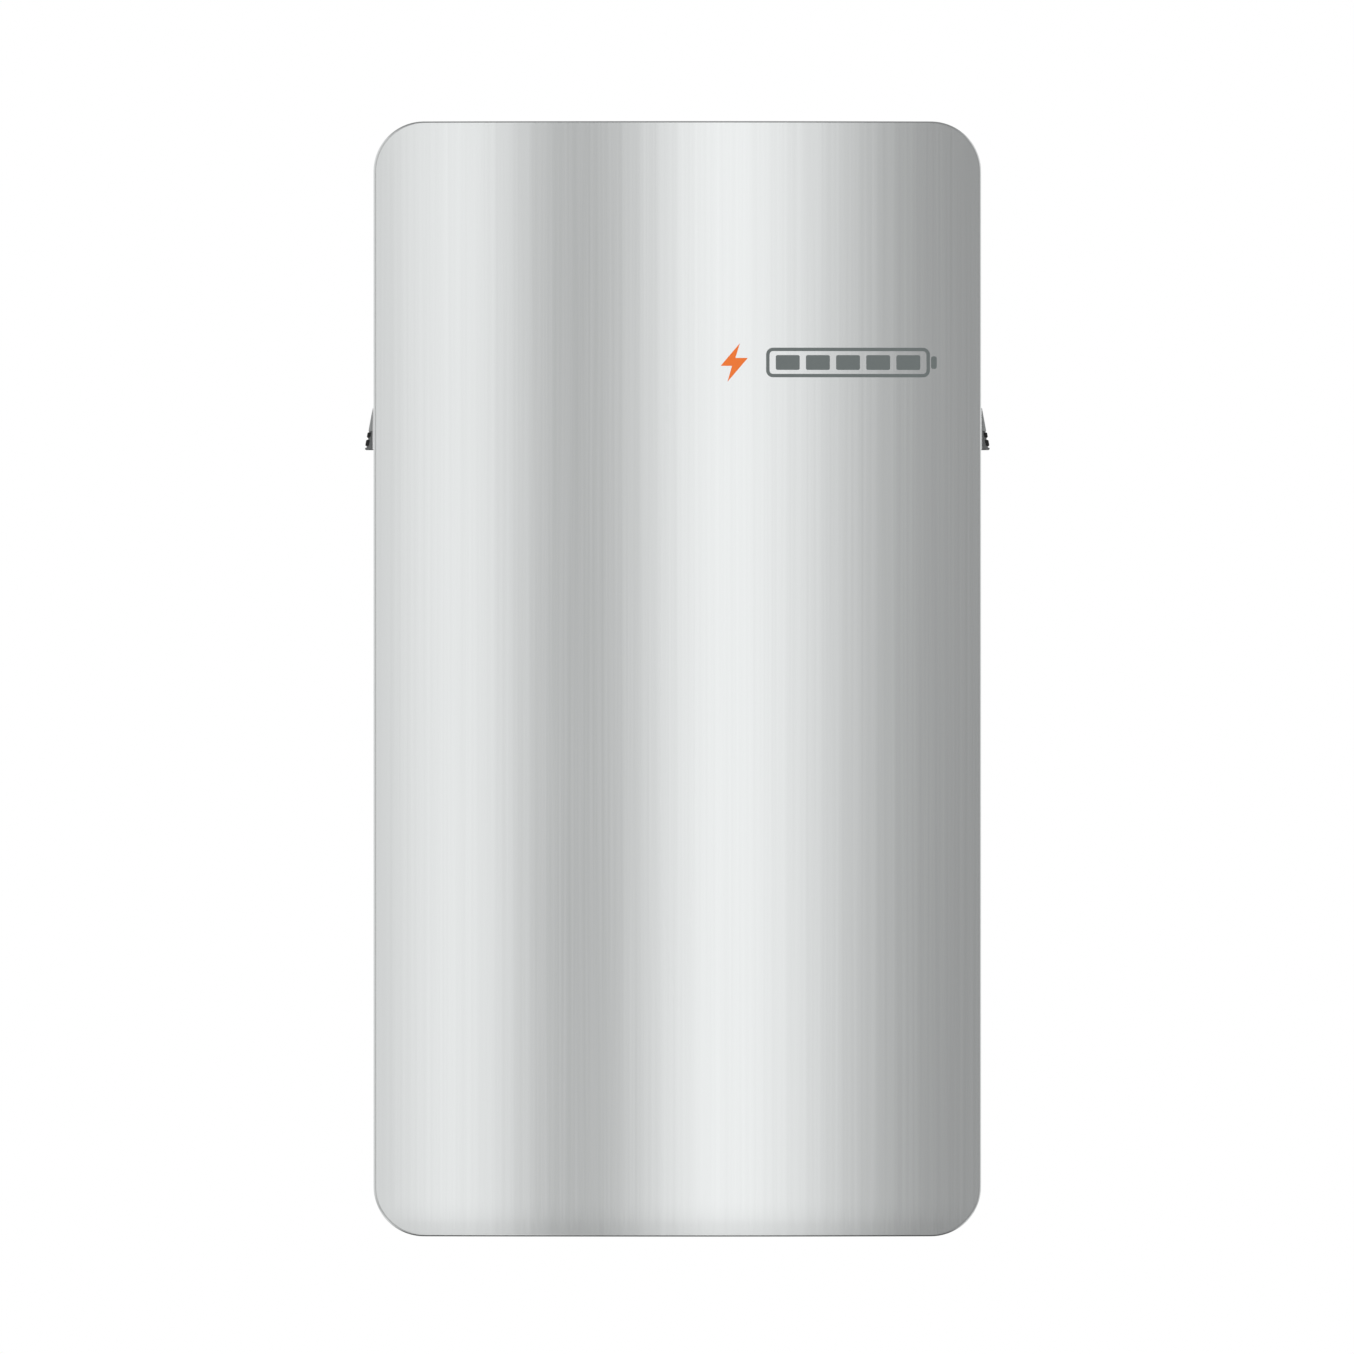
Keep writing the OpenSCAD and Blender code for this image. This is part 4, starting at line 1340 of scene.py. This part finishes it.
@dataclass
class Screws(Assembly):
    """Every screw that shows, in three groups."""

    housing: Housing
    lid_inset: float = 6.5

    def build(self) -> None:
        """Makes the three groups of screws."""
        self.lid_screws()
        self.small_screws()
        self.inverter_screws()

    def _publish(self, form: Form, name: str, node: str) -> None:
        """Makes a group of screws one piece."""
        self.shop.publish(form, name, "fastener_steel", node, smooth_below=40.0)

    def lid_screws(self) -> None:
        """Places the screws around the lid."""
        form = Form()
        screw = PanHead(4.5, 3.0, 2.4, 11.0)
        x, z = self.housing.side_x - self.lid_inset, self.housing.top_z - self.lid_inset
        places = [(s * x, h) for s in SIGNS for h in spread(9, 420)]
        places += [(w, s * z) for w in spread(5, 200) for s in SIGNS]
        for across, up in places:
            screw.add(form, Axis.Y, LAYOUT.lid_front, (across, 0, up))
        self._publish(form, "lid_screw_set", "lid_screws")

    def small_screws(self) -> None:
        """Places the screws of the wiring cover, the gland plate and the handles."""
        form = Form()
        hatch = PanHead(3.6, 3.0, 1.9, 8.0)
        gland = PanHead(3.5, 2.0, 1.9, 9.0)
        handle = PanHead(2.8, 1.6, 1.5, 8.0)
        for x, z in product((-195, 0, 195), (347, 461)):
            hatch.add(form, Axis.Y, 136.0, (x, 0, z))
        for depth, z in product((42, 114), (350, 432)):
            gland.add(form, Axis.X, LAYOUT.side_x, (0, depth, z))
        for sign, depth, z in product(SIGNS, (28, 112), (164, 196)):
            handle.add(form, Axis.X, sign * (LAYOUT.side_x + 2.0), (0, depth, z))
        self._publish(form, "small_screw_set", "m4_screws")

    def inverter_screws(self) -> None:
        """Places four screws on each inverter's base plate."""
        form = Form()
        screw = PanHead(3.2, 2.5, 1.6, 7.0)
        for sign, row, x, z in product(SIGNS, LAYOUT.inverter_rows, (-60, 60), (-110, 110)):
            screw.add(form, Axis.Y, 135.0, (sign * LAYOUT.column_x + x, 0, row + z))
        self._publish(form, "inverter_screw_set", "inverter_screws")


@dataclass
class Inverters(Assembly):
    """Six potted module inverters on the lid."""

    width: float = 175.0
    height: float = 212.0

    def build(self) -> None:
        """Makes the inverters, numbered by row from the top left."""
        for number, (row, side) in enumerate(product(LAYOUT.inverter_rows, Side), 1):
            self.inverter(f"inverter_{number}", side, row)

    def inverter(self, node: str, side: Side, row: float) -> None:
        """Shapes one inverter, drawn for the right column and mirrored for the left.

        Args:
            node: its CAD node.
            side: its column.
            row: the height of its middle.
        """
        form = Form()
        x, w, h = LAYOUT.column_x, self.width / 2, self.height / 2
        base, body, crown, ribs = (133, 135), (135, 155), (154, 160), (159, 163)
        form.block((x - 75, x + 75), base, (row - h - 8, row + h + 8), 6.0, Axis.Y, 0.4)
        form.block((x - w, x + w), body, (row - h, row + h), 10.0, Axis.Y, 1.6)
        form.block((x - w + 5, x + w - 5), crown, (row - h + 5, row + h - 5), 8.0, Axis.Y, 1.4)
        for rib in spread(9, 66.0):
            form.block((x + rib - 2.5, x + rib + 2.5), ribs, (row - 89, row + 89), 2.3, Axis.Y, 0.9, 4)
        for depth, dz in ((142.5, -60.0), (149.5, 60.0)):
            self.connector(form, x - w, depth, row + dz)
        form.mirror_to(side)
        self.shop.publish(form, f"potted_{node}", "inverter_plastic", node)

    @staticmethod
    def connector(form: Form, wall_x: float, depth: float, z: float) -> None:
        """Adds one connector stub with two grip collars, ending 14 mm from the body.

        Args:
            form: the inverter's form.
            wall_x: where the body's side wall is.
            depth: depth of the stub's axis.
            z: height of the stub's axis.
        """
        ridge, waist = 5.5, 4.7
        steps = [(0.0, -2), (ridge, -2), (ridge, 3), (waist, 3.6), (waist, 5.0), (ridge, 5.6)]
        steps += [(ridge, 9), (waist, 9.6), (waist, 12.6), (waist - 0.8, 14), (0.0, 14)]
        form.turned([(r, wall_x - out) for r, out in steps], Axis.X, (wall_x, depth, z), 28)


@dataclass
class Harness(Assembly):
    """One cable trunk between the inverter columns, with its branches and fixings.

    Attributes:
        kind: dc or ac, which its node and its slot start with.
        depth: depth of the trunk's middle.
        branch_depth: depth of the branches.
        offset: height of a branch above its row.
        low: the trunk's lowest point.
        entry: the height where it goes through the lid.
        inner: depth of the end inside the housing.
        rise_to: where the inner end rises to, or None.
    """

    kind: str
    depth: float
    branch_depth: float
    offset: float
    low: float
    entry: float
    inner: float
    rise_to: float | None = None
    reach: float = 16.5
    trunk: float = 4.5
    branch: float = 2.5
    bend: float = 8.0
    sides: int = 28

    def build(self) -> None:
        """Shapes the trunk, its bend, the branches, their boots and the collars."""
        form = Form()
        bend_depth, bend_z = self.depth - self.bend, self.entry - self.bend
        form.rod(Axis.Z, (self.low, bend_z), self.trunk, (0, self.depth, 0), self.sides, 0.8)
        self._elbow(form, Vector((0.0, -bend_depth, bend_z)))
        form.rod(Axis.Y, (self.inner, bend_depth), self.trunk, (0, 0, self.entry), self.sides)
        if self.rise_to is not None:
            rise = (self.entry - self.trunk, self.rise_to)
            form.rod(Axis.Z, rise, self.trunk, (0, self.inner, 0), self.sides, 1.0)
        boot = [(0, -13), (3.67, -13), (3.9, -12), (3.9, 12), (3.67, 13), (0, 13)]
        for z in (row + self.offset for row in LAYOUT.inverter_rows):
            form.rod(Axis.X, (-self.reach, self.reach), self.branch, (0, self.branch_depth, z), 20)
            form.turned(boot, Axis.X, (0, self.branch_depth, z), 24)
            form.rod(Axis.Z, (z - 9, z + 9), self.trunk + 0.9, (0, self.depth, 0), self.sides, 1.2)
        self.shop.publish(form, f"{self.kind}_cable_tree", f"{self.kind}_cable", f"{self.kind}_harness")

    def _elbow(self, form: Form, centre: Vector) -> None:
        """Adds the quarter bend from the trunk to the way in.

        Args:
            form: the harness's form.
            centre: the point that the bend turns about.
        """
        start = Matrix.Translation(centre + Vector((0.0, -self.bend, 0.0)))
        ring = bmesh.ops.create_circle(
            form.bm, cap_ends=False, segments=self.sides, radius=self.trunk, matrix=start
        )["verts"]
        edges = list({e for v in ring for e in v.link_edges})
        bmesh.ops.spin(
            form.bm, geom=[*ring, *edges], cent=centre, axis=Axis.X.vector, dvec=(0, 0, 0),
            angle=-math.pi / 2, steps=8, use_merge=False, use_duplicate=False,
        )
        bmesh.ops.recalc_face_normals(form.bm, faces=faces_of(Form.island(ring)))


@dataclass
class Handle(Assembly):
    """One lifting handle: recessed pocket, pale trim plate, grey lip and ribbed black grip."""

    side: Side
    flange_x: float = 265.0
    lip_x: float = 268.3
    tip_x: float = 275.0
    top_z: float = 238.6
    bottom_z: float = 202.0
    split_z: float = 218.0
    depth: Span = (28.0, 112.0)
    floor_x: float = 239.0
    tray_depth: Span = (35.0, 105.0)
    tray_z: Span = (172.0, 230.0)

    def face_x(self, z: float) -> float:
        """X of the lip's slanted outer face at a height."""
        return self.lip_x + (self.tip_x - self.lip_x) * (self.top_z - z) / (self.top_z - self.bottom_z)

    def build(self) -> None:
        """Makes the handle's pieces."""
        self.pocket()
        self.trim()
        self.cup()
        self.foot()
        self.ribs()

    def _publish(self, form: Form, name: str, slot: str, node: str, finish: str | None = None) -> Object:
        """Mirrors a form to its side and makes it a piece."""
        form.mirror_to(self.side)
        return self.shop.publish(form, name + self.side.tail, slot, node + self.side.tail, finish=finish)

    def pocket(self) -> None:
        """Shapes the recessed pocket as an open tray with a flange."""
        form = Form()
        form.block(
            (self.floor_x, self.flange_x - 1.0), self.tray_depth, self.tray_z, 6.0, Axis.X, segments=6
        )
        form.remove(lambda f: f.normal.x > 0.9)
        form.round_edges(lambda e: lies_at(e, Axis.X, self.floor_x), 4.0, 4)
        bmesh.ops.reverse_faces(form.bm, faces=form.bm.faces)
        add_wall(self._publish(form, "handle_tray", "pocket_plastic", "handle_pocket"), 2.0)
        rim = Form()
        rim.block((self.flange_x - 2.0, self.flange_x), (24, 116), (158, self.top_z), 5.0, Axis.X, 0.6, 6)
        flange = self._publish(rim, "handle_flange", "pocket_plastic", "handle_pocket")
        through = (self.flange_x - 7.0, self.flange_x + 5.0)
        mouth = Form()
        mouth.block(through, self.tray_depth, self.tray_z, 6.0, Axis.X, segments=6)
        mouth.mirror_to(self.side)
        carve(flange, mouth)

    def trim(self) -> None:
        """Shapes the pale plate that the lip sits on."""
        form = Form()
        legs = zip(self.depth, self.tray_depth)
        mouth_top = self.tray_z[1]
        bars = [(self.depth, (mouth_top, self.top_z))]
        bars += [(tuple(sorted(leg)), (self.bottom_z, mouth_top + 1.0)) for leg in legs]
        for depth, z in bars:
            form.block((self.flange_x, self.lip_x), depth, z, 0.0, Axis.X, 0.35)
        self._publish(form, "handle_trim", "trim_plastic", "handle_plate")

    def _wedge(self, form: Form, z: Span, margin: float = 0.0, inner: float = 0.0) -> None:
        """Adds a stretch of the wedge.

        Args:
            form: the form that it is added to.
            z: its lowest and highest point.
            margin: how far its ends keep inside the lip's ends.
            inner: how far its outer face keeps inside the lip's.
        """
        low, high = z
        start = self.lip_x - (1.0 if inner else 0.0)
        points = [(start, low), (self.face_x(low) - inner, low), (self.face_x(high) - inner, high)]
        if self.face_x(high) - inner > start + 0.05:
            points.append((start, high))
        form.outline(points, (self.depth[0] + margin, self.depth[1] - margin))

    def _hollow(self, piece: Object, z: Span, wall: float) -> None:
        """Carves the space behind the lip's outer face out of a piece.

        Args:
            piece: the piece.
            z: the space's lowest and highest point.
            wall: how much is left of the outer face.
        """
        hollow = Form()
        self._wedge(hollow, z, 3.0, wall)
        hollow.mirror_to(self.side)
        carve(piece, hollow)

    def cup(self) -> None:
        """Shapes the grey upper part of the lip, hollow from below."""
        form = Form()
        self._wedge(form, (self.split_z + 0.15, self.top_z))
        form.round_edges(is_sharp, 0.5, 2)
        cup = self._publish(form, "handle_lip", "handle_grey", "handle_cup")
        self._hollow(cup, (self.split_z - 2.0, self.top_z - 10.0), 2.4)

    def foot(self) -> None:
        """Shapes the dark core of the grip, with its flat foot."""
        low, high = self.bottom_z, self.split_z
        steps = ((high, -0.5), (high - 0.9, -0.9), (low + 1.9, -1.1))
        points = [(self.lip_x, high)] + [(self.face_x(z) + proud, z) for z, proud in steps]
        points += [(self.tip_x, low + 1.4), (self.tip_x, low), (self.lip_x, low)]
        form = Form()
        form.outline(points, (self.depth[0] + 0.7, self.depth[1] - 0.7))
        form.round_edges(is_sharp, 0.3, 2)
        foot = self._publish(form, "handle_foot", "grip_black", "handle_grip", "handle_dark")
        self._hollow(foot, (low - 2.0, high + 2.0), 2.8)

    def ribs(self) -> None:
        """Shapes the two black ribs of the grip."""
        form = Form()
        for top, bottom in ((-0.9, -5.4), (-7.4, -12.8)):
            corners = ((top, 0.5), (bottom, 0.5), (bottom, -2.7), (top, -2.7))
            points = [(self.face_x(self.split_z + z) + proud, self.split_z + z) for z, proud in corners]
            form.outline(points, self.depth)
        form.round_edges(is_sharp, 0.9, 3)
        self._publish(form, "handle_ribs", "grip_black", "handle_grip")


@dataclass
class Isolator(Assembly):
    """The isolator in the right side: recessed bezel, turning knob and status light."""

    depth: float = LAYOUT.switch_depth
    z: float = 100.0
    side_x: float = LAYOUT.side_x
    floor_x: float = 247.0
    knob_radius: float = 24.0

    def build(self) -> None:
        """Makes the bezel, the knob and the lens."""
        self.bezel()
        self.knob()
        self.lens()

    def bezel(self) -> None:
        """Turns the bezel and marks its two positions with raised bars."""
        form = Form()
        rim, floor = self.side_x, self.floor_x
        bore = (6.06, floor - 2)
        profile = [bore, (33, floor - 2), (33, rim), (38, rim), (38, rim + 1.2), (37.2, rim + 2)]
        profile += [(32, rim + 2), (31.2, rim + 1.6), (30.8, rim + 0.8), (30, floor + 1.5), (28.5, floor)]
        form.turned([*profile, (6.06, floor), bore], Axis.X, (0, self.depth, self.z), 72)
        across, outward = (-1.2, 1.2), (32.5, 36.5)
        for (d0, d1), (z0, z1) in ((across, outward), (outward, across)):
            form.block(
                (rim + 1.6, rim + 2.5), (self.depth + d0, self.depth + d1), (self.z + z0, self.z + z1),
                1.1, Axis.X, 0.25, 4,
            )
        self.shop.publish(form, "isolator_bezel", "dark_plastic", "switch_bezel")

    def knob(self) -> None:
        """Turns the knob's disc and shaft, and adds its grip bar and the nubs around it."""
        form = Form()
        floor, r = self.floor_x, self.knob_radius
        steps = [(0, -25), (5.4, -25), (6, -24.4), (6, 1), (r - 0.8, 1), (r, 1.8), (r, 6.4)]
        steps += [(r - 0.5, 7.5), (r - 1.6, 8), (0, 8)]
        profile = [(radius, floor + along) for radius, along in steps]
        form.turned(profile, Axis.X, (0, self.depth, self.z), 64)
        reach = r - 1.0
        form.block(
            (floor + 7, floor + 17.5), (self.depth - 5, self.depth + 5), (self.z - reach, self.z + reach),
            4.8, Axis.X, 1.4, 8,
        )
        nub, ring = 0.8, r - 0.8
        for turn in (math.radians(15 * k) for k in range(24) if k % 12):
            centre = (0, self.depth + ring * math.sin(turn), self.z + ring * math.cos(turn))
            form.rod(Axis.X, (floor + 1.6, floor + 7.2), nub, centre, 10, 0.3)
        self.shop.publish(form, "isolator_knob", "knob_red", "switch_knob", Body.SWITCH)

    def lens(self) -> None:
        """Shapes the status light's lens."""
        wall = self.side_x - 2.5
        self.shop.blocks("status_light", "lens_clear", "status_lens", (
            ((wall - 4, wall), (66, 78), (-3, 43), 5.0, Axis.X, 0.3),
            ((wall - 0.5, self.side_x + 1.2), (68.6, 75.4), (0.1, 39.9), 3.3, Axis.X, 0.6, 8),
        ))


@dataclass
class Fixings(Assembly):
    """The small moulded parts under the cover: cable grommets and snap sockets."""

    def build(self) -> None:
        """Makes the grommets and the sockets."""
        self.grommets()
        self.sockets()

    def grommets(self) -> None:
        """Turns the two cable grommets with their rounded lips."""
        profile = [(4.6, 128.5), (11, 128.5), (11, 130), (7.9, 130), (7.9, 133), (11, 133), (11, 133.9)]
        profile += [(10.4, 134.3), (6.4, 134.4), (4.6, 134.0), (4.6, 128.5)]
        centres = [(0, 0, z) for z in (LAYOUT.dc_entry, LAYOUT.ac_entry)]
        self.shop.turnings(
            "trunk_grommets", "seal_rubber", "cable_grommets", profile, Axis.Y, centres, 36
        )

    def sockets(self) -> None:
        """Turns the eight snap sockets that hold the cover's ball studs."""
        profile = [(0, 133), (8, 133), (8, 133.7), (7.6, 134), (6.5, 134), (6.3, 141), (5.9, 141.5)]
        profile += [(4.2, 141.5), (3.85, 141.0), (3.85, 134.3), (0, 134.2)]
        self.shop.turnings(
            "snap_sockets", "clip_plastic", "cover_clips", profile, Axis.Y, LAYOUT.studs, 28
        )


# ---- The studio ----


@dataclass
class Studio:
    """A pale floor, a white backdrop, soft panels of light and a long-lens camera.

    Its sizes are in metres, its angles in degrees, and a brightness of 1 is plain white.
    """

    view_width: float = 1.190
    sensor: float = 36.0
    distance: float = 30.0
    front: float = 0.170
    aim: tuple[float, float] = (-0.0003, 0.0017)
    floor_z: float = -1.6
    floor_radius: float = 40.0
    peak: float = 1.2
    front_reach: float = 45.0
    dome_soft: float = 0.80
    dome_slope: float = 0.30
    above: float = 0.22
    below: float = 0.06
    dusk: float = 0.26
    # Where the ceiling, the ground and the dusk below the horizon fade in, as the Z of a direction.
    ceiling: Span = (0.52, 0.78)
    ground: Span = (-0.70, -0.85)
    dusk_top: Span = (-0.08, -0.26)
    dusk_foot: Span = (-0.50, -0.34)
    key_strength: float = 0.6
    key_width: float = 35.0
    key_turn: tuple[float, float, float] = (52.0, -18.0, -28.0)
    # Brightness of the upright panels, by the angle to the right of straight ahead.
    front_panels: tuple[Span, ...] = (
        (-45, 0.560), (-36, 0.480), (-29, 0.260), (-24, 0.440), (-19, 0.855), (-15.5, 1.035),
        (-12.5, 0.970), (-9.5, 0.415), (-6.5, 0.303), (-3.5, 0.510), (-0.5, 0.910), (3, 1.115),
        (6.5, 0.960), (9.5, 0.785), (12.5, 0.560), (15.5, 0.362), (19, 0.315), (24, 0.290),
        (30, 0.310), (38, 0.260), (45, 0.300),
    )
    room_panels: tuple[Span, ...] = (
        (-180, 0.60), (-165, 0.95), (-148, 0.55), (-130, 0.35), (-112, 0.85), (-100, 0.95), (-85, 0.62),
        (-70, 0.60), (-56, 0.68), (-45, 0.56), (45, 0.30), (56, 0.44), (66, 0.40), (80, 0.48),
        (94, 0.66), (108, 0.88), (122, 0.80), (140, 0.36), (156, 0.50), (168, 0.85), (180, 0.60),
    )

    def build(self) -> None:
        """Makes the camera first, then the floor and the light."""
        bpy.context.scene.view_settings.view_transform = "Standard"
        self.camera()
        self.floor()
        self.world()
        self.key()

    def camera(self) -> None:
        """Places the camera straight in front, far off, so that the view has almost no perspective."""
        data = bpy.data.cameras.new("camera")
        data.sensor_width = self.sensor
        data.lens = self.sensor * (self.distance - self.front) / self.view_width
        data.clip_start = 0.5
        data.clip_end = 200.0
        camera = bpy.data.objects.new("camera", data)
        camera.location = (self.aim[0], -self.distance, self.aim[1])
        camera.rotation_euler = (math.pi / 2, 0.0, 0.0)
        bpy.context.scene.collection.objects.link(camera)
        bpy.context.scene.camera = camera

    def floor(self) -> None:
        """Lays a pale round floor well below the unit."""
        shape = bmesh.new()
        place = Matrix.Translation((0, 0, self.floor_z))
        bmesh.ops.create_circle(
            shape, cap_ends=True, segments=96, radius=self.floor_radius, matrix=place
        )
        mesh = bpy.data.meshes.new("floor")
        shape.to_mesh(mesh)
        shape.free()
        paint = PaleFloor("pale_floor", (0.90, 0.90, 0.90), 0.8)
        mesh.materials.append(paint.material())
        floor = bpy.data.objects.new("floor", mesh)
        floor.visible_glossy = False
        bpy.context.scene.collection.objects.link(floor)

    def world(self) -> None:
        """Fills the surroundings: upright light and dark panels ahead, soft light elsewhere."""
        world = bpy.data.worlds.new("studio")
        bpy.context.scene.world = world
        world.use_nodes = True
        shader = Shader(world.node_tree)
        place = shader.node("ShaderNodeTexCoord").outputs["Generated"]
        parts = shader.node("ShaderNodeSeparateXYZ", {}, {0: place})
        x, y, z = (shader.value(parts, i) for i in range(3))
        angle = x.angle_to(-y) * (180.0 / math.pi)
        ahead = self._panels(shader, angle, self.front_panels, self.front_reach)
        around = self._panels(shader, angle, self.room_panels, 180.0)
        in_front = abs(angle).ramp(self.front_reach + 2.0, self.front_reach - 2.0)
        upright = ahead * in_front + around * (1.0 - in_front)
        high, low = z.ramp(*self.ceiling), z.ramp(*self.ground)
        just_below = z.ramp(*self.dusk_top) * z.ramp(*self.dusk_foot)
        upright = upright * (1.0 - self.dusk * just_below)
        mirrored = upright * (1.0 - high) * (1.0 - low) + self.above * high + self.below * low
        soft = z * self.dome_slope + self.dome_soft
        path = shader.node("ShaderNodeLightPath")
        seen, glossy = shader.value(path, "Is Camera Ray"), shader.value(path, "Is Glossy Ray")
        strength = seen + (1.0 - seen) * (mirrored * glossy + soft * (1.0 - glossy))
        glow = shader.node("ShaderNodeBackground", {}, {"Color": (1, 1, 1, 1), "Strength": strength})
        shader.node("ShaderNodeOutputWorld", {}, {"Surface": glow.outputs[0]})

    def _panels(self, shader: Shader, angle: Expression, panels: Points, reach: float) -> Expression:
        """Brightness of a row of panels.

        Args:
            shader: the world's shader.
            angle: the angle to the right of straight ahead, in degrees.
            panels: (angle, brightness) pairs from -reach to reach.
            reach: the angle at both ends.

        Returns:
            The brightness.
        """
        stops = [((a + reach) / (2 * reach), (b / self.peak,) * 3) for a, b in panels]
        ramp = shader.node(
            "ShaderNodeValToRGB", {"stops": stops, "interpolation": "LINEAR"}, {0: angle.ramp(-reach, reach)}
        )
        return shader.value(ramp) * self.peak

    def key(self) -> None:
        """Adds a broad key light from the upper left that leaves no hot spot on metal."""
        data = bpy.data.lights.new("key", "SUN")
        data.energy = self.key_strength
        data.angle = math.radians(self.key_width)
        key = bpy.data.objects.new("key", data)
        key.rotation_euler = [math.radians(angle) for angle in self.key_turn]
        key.visible_glossy = False
        bpy.context.scene.collection.objects.link(key)


# Radius of the softened edges of the CAD nodes that stay, in millimetres.
CAD_EDGES: dict[str, float] = {
    "wall_bracket": 0.5, "hanger_rail_upper": 0.5, "hanger_rail_lower": 0.5, "securing_screws": 0.4,
    "harness_clips": 0.6, "switch_body": 1.0, "terminal_block": 0.8, "ground_bar": 0.4,
    "cells_left": 1.2, "cells_right": 1.2, "end_plates": 0.8, "busbars": 0.3, "busbar_covers": 0.3,
    "bms_parts": 0.5, "main_fuse": 0.5, "contactor": 1.0, "dc_leads": 0.3, "partition_plate": 0.3,
}


def corners(box: Iterable) -> list[list[float]]:
    """A box's two corners as plain lists of numbers."""
    return [[float(value) for value in corner] for corner in box]


def main() -> None:
    logging.basicConfig(level=logging.INFO, format="%(name)s: %(message)s")
    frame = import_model()
    Studio().build()
    shop = Workshop(frame)
    housing = Housing(shop)
    assemblies: list[Assembly] = [
        FrontCover(shop),
        housing,
        Screws(shop, housing),
        Inverters(shop),
        Harness(
            shop, "dc", depth=142.5, branch_depth=142.5, offset=-60.0, low=-396.0,
            entry=LAYOUT.dc_entry, inner=95.0,
        ),
        Harness(
            shop, "ac", depth=154.5, branch_depth=151.5, offset=60.0, low=-276.0,
            entry=LAYOUT.ac_entry, inner=70.0, rise_to=374.0,
        ),
        *(Handle(shop, side) for side in Side),
        Isolator(shop),
        Fixings(shop),
    ]
    for assembly in assemblies:
        assembly.build()
    shop.even_shading()
    shop.dress_rest(CAD_EDGES)


if __name__ == "__main__":
    main()
